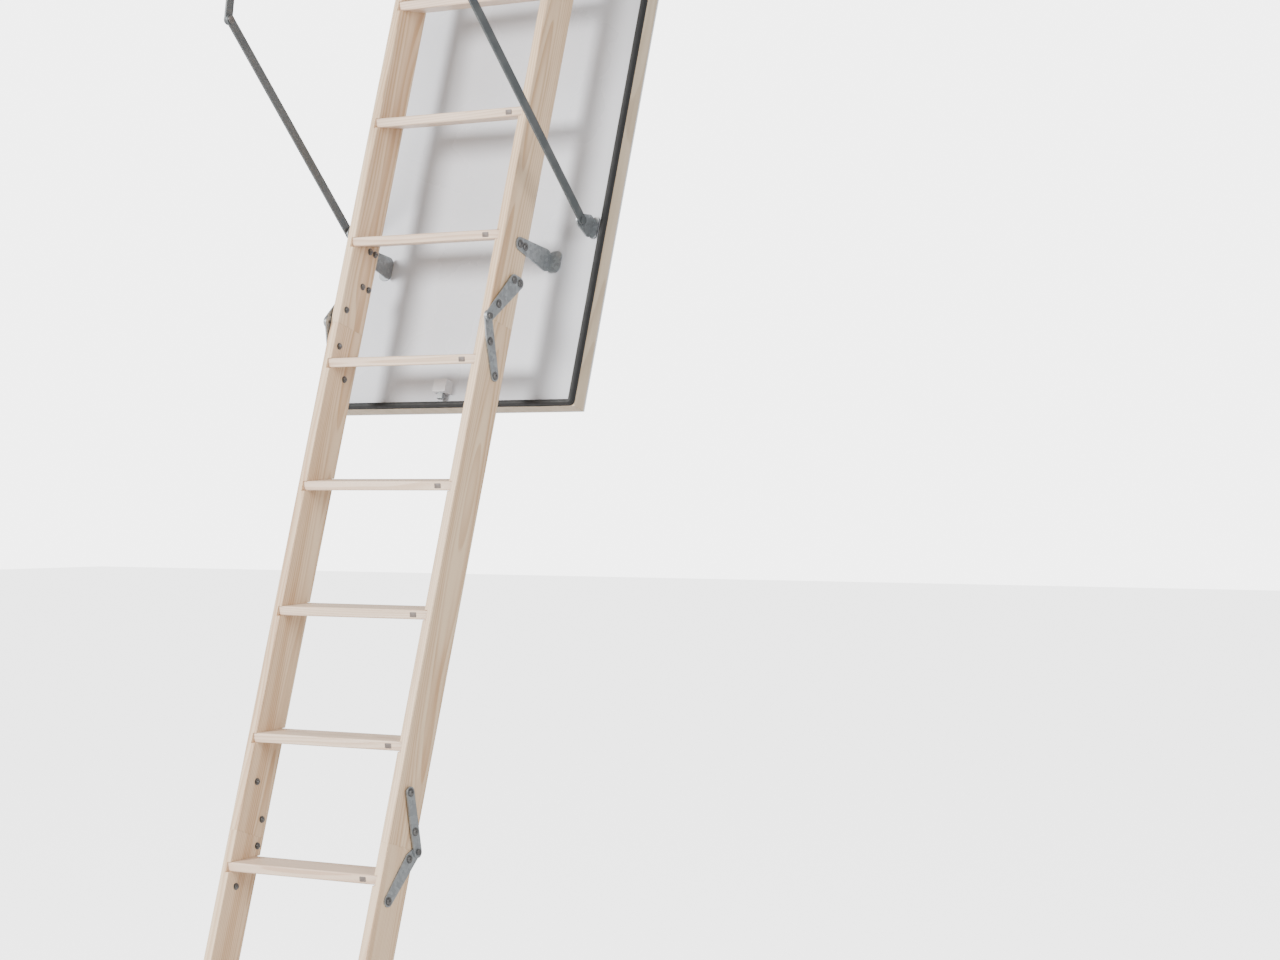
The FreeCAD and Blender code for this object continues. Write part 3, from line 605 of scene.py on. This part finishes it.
# ---- mesh helpers
class Workshop:
    """Turns meshes into pieces of the ladder, logs each one and keeps the shared materials."""

    def __init__(self) -> None:
        """Start with no shared material made."""
        self.shared: dict[Finish, Material] = {}

    def coat(self, finish: Skin | ZincPlate, name: str) -> Material:
        """The material of a finish, made the first time it is asked for."""
        if finish not in self.shared:
            self.shared[finish] = finish.material(name)
        return self.shared[finish]

    def paint(self, node: str, material: Material) -> None:
        """Put a material in every slot of a CAD node.

        Args:
            node: the CAD node's name.
            material: its finish.
        """
        thing = frame["nodes"][node]
        for slot in thing.material_slots:
            slot.material = material
        LOG.info("dressed %s in %s", node, material.name)

    def piece(self, name: str, shape: Shape,
              material: Material) -> bpy.types.Object:
        """Turn a mesh into an object of the scene, smooth up to its sharp corners.

        Args:
            name: the piece's name.
            shape: its mesh, which is used up.
            material: its finish.

        Returns:
            The object.
        """
        bmesh.ops.recalc_face_normals(shape, faces=shape.faces)
        data = bpy.data.meshes.new(name)
        shape.to_mesh(data)
        shape.free()
        data.materials.append(material)
        data.shade_smooth()
        data.set_sharp_from_angle(angle=SHARP_CORNER)
        return self.show(name, data)

    def show(self, name: str, data: bpy.types.Mesh) -> bpy.types.Object:
        """Put a finished mesh in the scene.

        Args:
            name: the piece's name.
            data: its mesh.

        Returns:
            The object.
        """
        thing = bpy.data.objects.new(name, data)
        bpy.context.scene.collection.objects.link(thing)
        LOG.info("made %s, %d faces", name, len(data.polygons))
        return thing


SHOP = Workshop()


def sweep(shape: Shape, path: Sequence[Vector], normal: Vector,
          profile: Sequence[tuple[float, float]]) -> None:
    """Carry a closed profile round a closed flat path.

    Args:
        shape: the mesh to add to.
        path: the points of the loop.
        normal: the way the loop's plane faces.
        profile: the outline, as (out of the loop's centre, along the normal).
    """
    rings = []
    count = len(path)
    for i, spot in enumerate(path):
        way = (path[(i + 1) % count] - path[i - 1]).normalized()
        side = way.cross(normal)
        rings.append([shape.verts.new(spot + side * a + normal * b) for a, b in profile])
    for i, ring in enumerate(rings):
        after = rings[(i + 1) % count]
        for j, vert in enumerate(ring):
            k = (j + 1) % len(profile)
            shape.faces.new((vert, ring[k], after[k], after[j]))


def rounded_loop(corners: Sequence[Vector], radius: float, steps: int = 6) -> list[Vector]:
    """Round the corners of a flat rectangle and add points along its sides.

    Args:
        corners: its four corners, in order.
        radius: the radius of the corners.
        steps: the points on each corner.

    Returns:
        The points of the loop.
    """
    loop = []
    for i, corner in enumerate(corners):
        before = (corners[i - 1] - corner).normalized()
        after = (corners[(i + 1) % len(corners)] - corner).normalized()
        centre = corner + (before + after) * radius
        for step in range(steps + 1):
            angle = math.pi / 2 * step / steps
            loop.append(centre - after * radius * math.cos(angle) - before * radius * math.sin(angle))
    return loop


def lathe(shape: Shape, start: Vector, axis: Vector,
          profile: Sequence[tuple[float, float]], sides: int = 28) -> None:
    """Turn a profile about an axis.

    Args:
        shape: the mesh to add to.
        start: where the axis starts.
        axis: its direction.
        profile: the outline, as (distance along the axis, radius); a radius of 0 closes it.
        sides: how many sides a turn has; 6 makes a hexagon.
    """
    axis = axis.normalized()
    first = axis.orthogonal().normalized()
    second = axis.cross(first)
    rings = []
    for along, radius in profile:
        spot = start + axis * along
        if radius == 0:
            rings.append([shape.verts.new(spot)])
            continue
        turns = (2 * math.pi * i / sides for i in range(sides))
        rings.append([shape.verts.new(spot + (first * math.cos(t) + second * math.sin(t)) * radius)
                      for t in turns])
    for lower, upper in zip(rings, rings[1:]):
        for i in range(sides):
            k = (i + 1) % sides
            if len(lower) == 1:
                shape.faces.new((lower[0], upper[k], upper[i]))
            elif len(upper) == 1:
                shape.faces.new((lower[i], lower[k], upper[0]))
            else:
                shape.faces.new((lower[i], lower[k], upper[k], upper[i]))


def recess(shape: Shape, start: Vector, axis: Vector, radius: float, depth: float,
           drive: Drive) -> None:
    """Close a head with a lobed recess.

    Args:
        shape: the mesh to add to.
        start: the middle of the head's rim.
        axis: the way the head faces.
        radius: the radius of that rim.
        depth: how deep the recess goes.
        drive: the recess's form.
    """
    lobes, swing = drive.value
    first = axis.orthogonal().normalized()
    second = axis.cross(first)
    sides = 48
    rings = []
    for rise, size, share in ((0.0, 1.0, 0.0), (0.0, 0.56, 1.0), (-depth, 0.50, 1.0)):
        ring = []
        for i in range(sides):
            t = 2 * math.pi * i / sides
            reach = radius * size * (1 + share * swing * (math.cos(lobes * t) - 1))
            ring.append(shape.verts.new(start + axis * rise
                                        + (first * math.cos(t) + second * math.sin(t)) * reach))
        rings.append(ring)
    for outer, inner in zip(rings, rings[1:]):
        for i in range(sides):
            k = (i + 1) % sides
            shape.faces.new((outer[i], outer[k], inner[k], inner[i]))
    shape.faces.new(rings[-1])


def wire(name: str, path: Sequence[Vector], radius: float,
         material: Material) -> bpy.types.Object:
    """A round wire along a path.

    Args:
        name: the piece's name.
        path: the points it follows.
        radius: the wire's radius.
        material: its finish.

    Returns:
        The wire as a mesh object.
    """
    curve = bpy.data.curves.new(name + "_line", "CURVE")
    curve.dimensions = "3D"
    curve.bevel_depth = radius
    curve.bevel_resolution = 2
    curve.use_fill_caps = True
    line = curve.splines.new("POLY")
    line.points.add(len(path) - 1)
    for spot, at in zip(line.points, path):
        spot.co = (*at, 1.0)
    drawn = bpy.data.objects.new(name + "_line", curve)
    bpy.context.scene.collection.objects.link(drawn)
    bpy.context.view_layer.update()
    data = bpy.data.meshes.new_from_object(drawn.evaluated_get(bpy.context.evaluated_depsgraph_get()))
    bpy.data.objects.remove(drawn)
    bpy.data.curves.remove(curve)
    data.name = name
    data.materials.clear()
    data.materials.append(material)
    data.shade_smooth()
    return SHOP.show(name, data)


def islands(node: str) -> list[list[Vector]]:
    """The separate solids of a CAD node.

    Args:
        node: the CAD node's name.

    Returns:
        The corners of each solid, from left to right.
    """
    shape = bmesh.new()
    shape.from_mesh(frame["nodes"][node].data)
    bmesh.ops.remove_doubles(shape, verts=shape.verts, dist=1e-6)
    found, seen = [], set()
    for seed in shape.verts:
        if seed in seen:
            continue
        seen.add(seed)
        group, queue = [], [seed]
        while queue:
            vert = queue.pop()
            group.append(vert.co.copy())
            for edge in vert.link_edges:
                other = edge.other_vert(vert)
                if other not in seen:
                    seen.add(other)
                    queue.append(other)
        found.append(group)
    shape.free()
    return sorted(found, key=lambda group: sum(spot.x for spot in group) / len(group))


# ---- timber
@dataclass
class Boards:
    """The stringers, treads, box boards and door edging, each with its own grain.

    Attributes:
        plug_width: the width of the plug in each tread's front edge.
        plug_height: its height.
        plug_proud: how far it stands out.
        plug_inset: from the stringer's inner face to the middle of the plug.
        corner: the radius of the plug's corners.
    """

    plug_width: float = 0.015
    plug_height: float = 0.0095
    plug_proud: float = 0.0006
    plug_inset: float = 0.027
    corner: float = 0.0015

    def dress(self) -> None:
        """Give every board its own timber."""
        pick = random.Random(11)
        for section in SECTIONS:
            for word in SIDES:
                self.board(f"{section}_stringer_{word}", PINE, GrainRun.UP_LADDER, pick)
        for i in range(TREAD_COUNT):
            self.board(f"tread_{i + 1:02d}", TREAD_PINE, GrainRun.ACROSS, pick)
        for word in SIDES:
            self.board(f"box_side_{word}", BOX_PINE, GrainRun.ALONG_BOX, pick)
        for word in ("front", "rear"):
            self.board(f"box_end_{word}", BOX_PINE, GrainRun.ACROSS, pick)
        self.board("door_lipping", LIPPING, GrainRun.UP_LADDER, pick)

    def board(self, node: str, timber: Timber, run: GrainRun, pick: random.Random) -> None:
        """Dress one board in timber of its own; pick draws its place in its tree."""
        low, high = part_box(node)
        SHOP.paint(node, timber.material(node, run, (low + high) / 2, pick))

    def front_edge(self, node: str) -> tuple[Vector, Vector, Vector]:
        """Find the front edge of a tread, which is a little off level.

        Args:
            node: the tread's CAD node.

        Returns:
            The way up from its top face, the way out of its front, and that face's middle.
        """
        data = frame["nodes"][node].data
        tops = [face for face in data.polygons if face.normal.z > 0.9]
        up = max(tops, key=lambda face: face.area).normal.normalized()
        front = Vector((1, 0, 0)).cross(up)
        low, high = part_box(node)
        middle = (low + high) / 2
        half = max((vertex.co - middle).dot(front) for vertex in data.vertices)
        return up, front, middle + front * half

    def plugs(self) -> None:
        """Put a plain plug in the front edge of each tread, near its right end."""
        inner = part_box("upper_stringer_right")[0].x
        for i in range(TREAD_COUNT):
            up, front, edge = self.front_edge(f"tread_{i + 1:02d}")
            shape = bmesh.new()
            middle = Vector((inner - self.plug_inset, edge.y, edge.z))
            corners = [middle + Vector((a * self.plug_width / 2, 0, 0)) + up * b * self.plug_height / 2
                       for a, b in ((-1, -1), (1, -1), (1, 1), (-1, 1))]
            outline = rounded_loop(corners, self.corner, 4)
            rings = []
            for proud, inset in ((-0.002, 0.0), (self.plug_proud * 0.6, 0.0),
                                 (self.plug_proud, 0.0006)):
                rings.append([shape.verts.new(spot + (middle - spot).normalized() * inset
                                              + front * proud) for spot in outline])
            for lower, upper in zip(rings, rings[1:]):
                for j in range(len(outline)):
                    k = (j + 1) % len(outline)
                    shape.faces.new((lower[j], lower[k], upper[k], upper[j]))
            shape.faces.new(rings[0])
            shape.faces.new(rings[-1])
            plug = SHOP.piece(f"tread_plug_{i + 1:02d}", shape,
                              SHOP.coat(PLUG_PLASTIC, "plug_plastic"))
            body = SECTION_BODIES[SECTIONS[i // TREADS_PER_SECTION]]
            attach(plug, body)


# ---- hatch door
@dataclass
class Hatch:
    """The door's faces, the seal round it and its latch.

    Attributes:
        bead: the share of the seal's height that its round bead takes.
        corner: the radius at which the seal turns the door's corners.
        web: the share of the seal's width that its neck keeps.
    """

    bead: float = 0.92
    corner: float = 0.005
    web: float = 0.85

    def dress(self) -> None:
        """Coat the door, and the case and knob of its latch."""
        SHOP.paint("door_insulated_core", SHOP.coat(DOOR_PAINT, "door_paint"))
        SHOP.paint("door_outer_skin", SHOP.coat(SKIN_PAINT, "skin_paint"))
        for node in ("latch_case", "latch_knob"):
            SHOP.paint(node, SHOP.coat(LATCH_PLASTIC, "latch_plastic"))

    def profile(self, width: float, height: float) -> list[tuple[float, float]]:
        """The seal's outline: a foot, a narrow neck and a round bead.

        Args:
            width: the seal's width.
            height: its height.

        Returns:
            Points as (across, up) from the middle of its foot.
        """
        half = width / 2
        radius = min(self.bead * height, width) / 2
        centre = height - radius
        left = [(-half, 0.0), (-half, 0.10 * height), (-self.web * half, 0.22 * height)]
        start = math.asin(max(-1.0, (0.34 * height - centre) / radius))
        arc = [(radius * math.cos(math.pi - a), centre + radius * math.sin(a))
               for a in (start + (math.pi - 2 * start) * i / 14 for i in range(15))]
        return left + arc + [(-a, b) for a, b in reversed(left)]

    def seal(self) -> None:
        """Sweep the seal round the door."""
        low, high = LINE.extents("door_gasket")
        rim = min(abs(vertex.co.x) for vertex in frame["nodes"]["door_gasket"].data.vertices)
        width = high.x - rim
        height = high.z - low.z
        left, right = low.x + width / 2, high.x - width / 2
        foot, head = low.y + width / 2, high.y - width / 2
        corners = [LINE.point(x, y, low.z)
                   for x, y in ((left, foot), (right, foot), (right, head), (left, head))]
        shape = bmesh.new()
        sweep(shape, rounded_loop(corners, self.corner), LINE.out, self.profile(width, height))
        seal = SHOP.piece("door_seal", shape, SHOP.coat(SEAL_RUBBER, "seal_rubber"))
        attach(seal, "hatch_door")
        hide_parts("door_gasket")


# ---- ironwork
def middle_of(group: Sequence[Vector]) -> tuple[float, float]:
    """The middle of a solid in Y and in Z, from its corners."""
    return tuple((min(s[k] for s in group) + max(s[k] for s in group)) / 2 for k in (1, 2))


@dataclass
class Ironwork:
    """Plates, hinges and fasteners.

    Attributes:
        washer: how far a washer reaches past its head.
        washer_thickness: the washer's thickness.
        head: the height of a bolt's head.
        nut: the height of its nut.
        shank: the radius of its shank.
        screw_head: the radius of a box screw's head.
        screw_core: the radius of its core, and the depth of its recess.
    """

    washer: float = 0.0022
    washer_thickness: float = 0.0008
    head: float = 0.003
    nut: float = 0.004
    shank: float = 0.003
    screw_head: float = 0.0046
    screw_core: float = 0.0022

    def dress(self) -> None:
        """Coat the plates, hinges and arms."""
        zinc = SHOP.coat(ZINC, "zinc_plate")
        for node in ("upper_fold_upper_leaves", "upper_fold_lower_leaves",
                     "lower_fold_upper_leaves", "lower_fold_lower_leaves",
                     "upper_stand_off_brackets", "lower_stand_off_brackets",
                     "hatch_hinge_door_leaves", "hatch_hinge_fixed_leaves", "door_arm_brackets",
                     "arm_pivot_plates", "spring_pegs", "latch_keeper", "latch_bolt"):
            SHOP.paint(node, zinc)
        bar = SHOP.coat(BAR_STEEL, "bar_steel")
        for word in SIDES:
            SHOP.paint("upper_arm_" + word, bar)
            SHOP.paint("lower_arm_" + word, bar)
        bolts = SHOP.coat(BOLT_STEEL, "bolt_steel")
        for node in ("hatch_hinge_pins", "upper_fold_pins", "lower_fold_pins",
                     "elbow_rivet_left", "elbow_rivet_right"):
            SHOP.paint(node, bolts)

    def bolts(self) -> None:
        """Put a button head, washers and a hexagon nut on each bolt of a section."""
        for section in SECTIONS:
            node = f"{section}_section_bolts"
            shape = bmesh.new()
            for group in islands(node):
                self.bolt(shape, group)
            bolts = SHOP.piece(f"{section}_bolts", shape, SHOP.coat(BOLT_STEEL, "bolt_steel"))
            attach(bolts, SECTION_BODIES[section])
            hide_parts(node)

    def bolt(self, shape: Shape, group: Sequence[Vector]) -> None:
        """Add one bolt that runs along X.

        Args:
            shape: the mesh to add to.
            group: the corners of its CAD solid.
        """
        side = math.copysign(1.0, sum(spot.x for spot in group))
        tips = sorted(abs(spot.x) for spot in group)
        near, far = tips[0], tips[-1]
        middle_y, middle_z = middle_of(group)
        heads = [s for s in group if abs(abs(s.x) - far) < 1e-5]
        radius = max(math.hypot(s.y - middle_y, s.z - middle_z) for s in heads)
        height, nut, shank = self.head, self.nut, self.shank
        out = Vector((side, 0, 0))
        seat = Vector((side * (far - height), middle_y, middle_z))
        thick = self.washer_thickness
        lathe(shape, seat, out, ((0.0, 0.0), (0.0, radius + self.washer),
                                 (thick, radius + self.washer), (thick, 0.0)))
        dome = [(thick + (height - thick) * math.sin(a), radius * (0.55 + 0.45 * math.cos(a)))
                for a in (math.pi / 2 * i / 6 for i in range(7))]
        lathe(shape, seat, out, [(thick, radius)] + dome, sides=48)
        recess(shape, seat + out * height, out, radius * 0.55, height * 0.55, Drive.HEX_SOCKET)
        inner = Vector((side * (near + nut), middle_y, middle_z))
        grip = radius * 0.92
        lathe(shape, inner, -out, ((0.0, 0.0), (0.0, grip + self.washer * 0.6),
                                   (thick, grip + self.washer * 0.6), (thick, 0.0)))
        lathe(shape, inner, -out, ((thick, 0.0), (thick, grip * 0.9), (thick * 1.5, grip),
                                   (nut - thick * 0.6, grip), (nut, grip * 0.86), (nut, 0.0)), sides=6)
        lathe(shape, inner, -out, ((0.0, 0.0), (0.0, shank), (nut + 0.0012, shank),
                                   (nut + 0.0018, shank * 0.8), (nut + 0.0018, 0.0)))

    def screws(self) -> None:
        """Show the countersunk heads of the screws in the hatch box."""
        shape = bmesh.new()
        for group in islands("box_corner_screws"):
            side = math.copysign(1.0, sum(spot.x for spot in group))
            far = max(abs(spot.x) for spot in group)
            out = Vector((side, 0, 0))
            face = Vector((side * far, *middle_of(group)))
            head, core = self.screw_head, self.screw_core
            lathe(shape, face, -out, ((0.0, head), (0.0004, head), (0.0034, core),
                                      (0.040, core), (0.045, 0.0)), sides=48)
            recess(shape, face, out, head, core, Drive.CROSS)
        screws = SHOP.piece("box_screws", shape, SHOP.coat(BOLT_STEEL, "bolt_steel"))
        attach(screws, "hatch_box")
        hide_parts("box_corner_screws")


# ---- springs
@dataclass
class Springs:
    """The two tension springs between the box and the upper arms.

    Attributes:
        wire: the radius of the wire.
        turns: how many turns each coil has.
        steps: the points on each turn.
        hook: the radius of the hooks on the pegs.
        eye: from the coil's end to the middle of its hook.
        bend: the points on each hook.
        curl: how far a hook turns, in radians.
    """

    wire: float = 0.0012
    turns: int = 92
    steps: int = 16
    hook: float = 0.0055
    eye: float = 0.014
    bend: int = 10
    curl: float = 1.6 * math.pi

    def ends(self, node: str) -> tuple[Vector, Vector, float]:
        """Where a spring's coil ends.

        Args:
            node: the spring's CAD node.

        Returns:
            The middle of its rear end, of its front end, and its radius.
        """
        spots = [vertex.co.copy() for vertex in frame["nodes"][node].data.vertices]
        low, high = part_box(node)
        slack = 0.004
        rear = [spot for spot in spots if spot.y > high.y - slack]
        front = [spot for spot in spots if spot.y < low.y + slack]
        middle = [Vector(((low.x + high.x) / 2, *middle_of(group))) for group in (rear, front)]
        return middle[0], middle[1], (high.x - low.x) / 2

    def path(self, rear: Vector, front: Vector, radius: float) -> list[Vector]:
        """The line of the wire: a hook, the coil and a hook.

        Args:
            rear: the middle of the coil's rear end.
            front: the middle of its front end.
            radius: the coil's outer radius.

        Returns:
            The points of the line.
        """
        way = (front - rear).normalized()
        across = Vector((1, 0, 0))
        out = way.cross(across)
        reach = radius - self.wire
        run = (front - rear).length
        total = self.turns * self.steps
        line = self.hooked(rear, -way, -out)[::-1]
        for i in range(total + 1):
            turn = 2 * math.pi * i / self.steps
            share = i / total
            taper = min(1.0, min(i, total - i) / self.steps + 0.25)
            line.append(rear + way * run * share
                        + (across * math.cos(turn) + out * math.sin(turn)) * reach * taper)
        return line + self.hooked(front, way, out)

    def hooked(self, end: Vector, way: Vector, out: Vector) -> list[Vector]:
        """The line of one hook.

        Args:
            end: the middle of the coil's end.
            way: from the coil towards the hook.
            out: the side the hook curls to.

        Returns:
            The points of the hook, from the coil outward.
        """
        centre = end + way * self.eye
        angles = (self.curl * i / self.bend for i in range(self.bend + 1))
        return [centre - out * self.hook * math.sin(a) - way * self.hook * math.cos(a) for a in angles]

    def build(self) -> None:
        """Coil both springs and hang them on the hatch box."""
        for word in SIDES:
            node = "tension_spring_" + word
            rear, front, radius = self.ends(node)
            spring = wire("coil_spring_" + word, self.path(rear, front, radius), self.wire,
                          SHOP.coat(SPRING_STEEL, "spring_steel"))
            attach(spring, "hatch_box")
            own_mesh(spring)
            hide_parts(node)

    def ratio(self, name: str) -> float:
        """How far an arm joint turns for each turn of the hatch."""
        couplings = frame["record"]["behaviour"]["couplings"]
        return next(entry["ratio"] for entry in couplings if entry["joint"] == name)


# ---- feet
@dataclass
class Feet:
    """The rubber shoes under the lower stringers."""

    def dress(self) -> None:
        """Coat both shoes."""
        for word in SIDES:
            SHOP.paint("foot_" + word, SHOP.coat(FOOT_RUBBER, "foot_rubber"))


# ---- studio
@dataclass
class Studio:
    """The pale floor, the soft light and the camera.

    Attributes:
        lens: the camera's focal length, in millimetres.
        camera_at: where the camera stands.
        yaw: how far the camera turns to the left, in degrees.
        pitch: how far it looks up, in degrees.
        shift: how far the picture is shifted on the lens axis, across and up.
        backdrop: how bright the sky and the floor look.
        aim: what the lamps point at.
    """

    lens: float = 86.3
    camera_at: tuple[float, float, float] = (3.681, -5.072, -1.283)
    yaw: float = 34.3
    pitch: float = -3.12
    shift: tuple[float, float] = (0.0066, 0.1342)
    backdrop: float = 5.0
    aim: tuple[float, float, float] = (0.0, -0.6, -1.3)

    def build(self) -> None:
        """Set up the floor, the sky, the lamps and the camera."""
        self.floor()
        self.sky()
        self.lamp("key", (-2.4, -6.0, 1.2), 2.6, 820.0)
        self.lamp("fill", (6.0, -2.6, 0.4), 3.0, 260.0)
        self.camera()

    def floor(self) -> None:
        """Lay a plain pale floor under the feet."""
        half = 40.0
        low = CAD_BOX[0].z
        shape = bmesh.new()
        shape.faces.new([shape.verts.new((a * half, b * half, low))
                         for a, b in ((-1, -1), (1, -1), (1, 1), (-1, 1))])
        material, work, shader = Finish.start("floor")
        shader.inputs["Base Color"].default_value = (0.90, 0.90, 0.90, 1.0)
        shader.inputs["Roughness"].default_value = 0.85
        shader.inputs["Emission Color"].default_value = (1.0, 1.0, 1.0, 1.0)
        seen = work.add("LightPath").outputs["Is Camera Ray"]
        work.feed(shader.inputs["Emission Strength"], work.math("MULTIPLY", seen, 0.6 * self.backdrop))
        floor = SHOP.piece("floor", shape, material)

    def sky(self) -> None:
        """Light the scene from all round, softly."""
        world = bpy.data.worlds.new("studio")
        bpy.context.scene.world = world
        world.use_nodes = True
        work = Tree(world.node_tree)
        ground = world.node_tree.nodes["Background"]
        ground.inputs["Color"].default_value = (1.0, 1.0, 1.0, 1.0)
        seen = work.add("LightPath").outputs["Is Camera Ray"]
        work.feed(ground.inputs["Strength"], work.ramp(seen, 0.0, 1.0, SKY_LIGHT, self.backdrop))

    def lamp(self, name: str, at: tuple[float, float, float], size: float, power: float) -> None:
        """Hang a soft lamp.

        Args:
            name: the lamp's name.
            at: where it hangs.
            size: its width.
            power: its power, in watts.
        """
        light = bpy.data.lights.new(name, "AREA")
        light.shape = "DISK"
        light.size = size
        light.energy = power
        thing = bpy.data.objects.new(name, light)
        thing.location = at
        thing.rotation_euler = (Vector(self.aim) - Vector(at)).to_track_quat("-Z", "Y").to_euler()
        bpy.context.scene.collection.objects.link(thing)

    def camera(self) -> None:
        """Stand the camera in front of the ladder and to its right."""
        data = bpy.data.cameras.new("camera")
        data.lens = self.lens
        data.shift_x, data.shift_y = self.shift
        data.clip_end = 200.0
        thing = bpy.data.objects.new("camera", data)
        thing.location = self.camera_at
        thing.rotation_euler = (math.radians(90 + self.pitch), 0.0, math.radians(self.yaw))
        bpy.context.scene.collection.objects.link(thing)
        bpy.context.scene.camera = thing


def main() -> None:
    """Build and dress the ladder, sub-assembly by sub-assembly."""
    logging.basicConfig(level=logging.INFO, format="%(name)s: %(message)s")
    boards = Boards()
    boards.dress()
    boards.plugs()
    hatch = Hatch()
    hatch.dress()
    hatch.seal()
    iron = Ironwork()
    iron.dress()
    iron.bolts()
    iron.screws()
    Springs().build()
    Feet().dress()
    Studio().build()


if __name__ == "__main__":
    main()
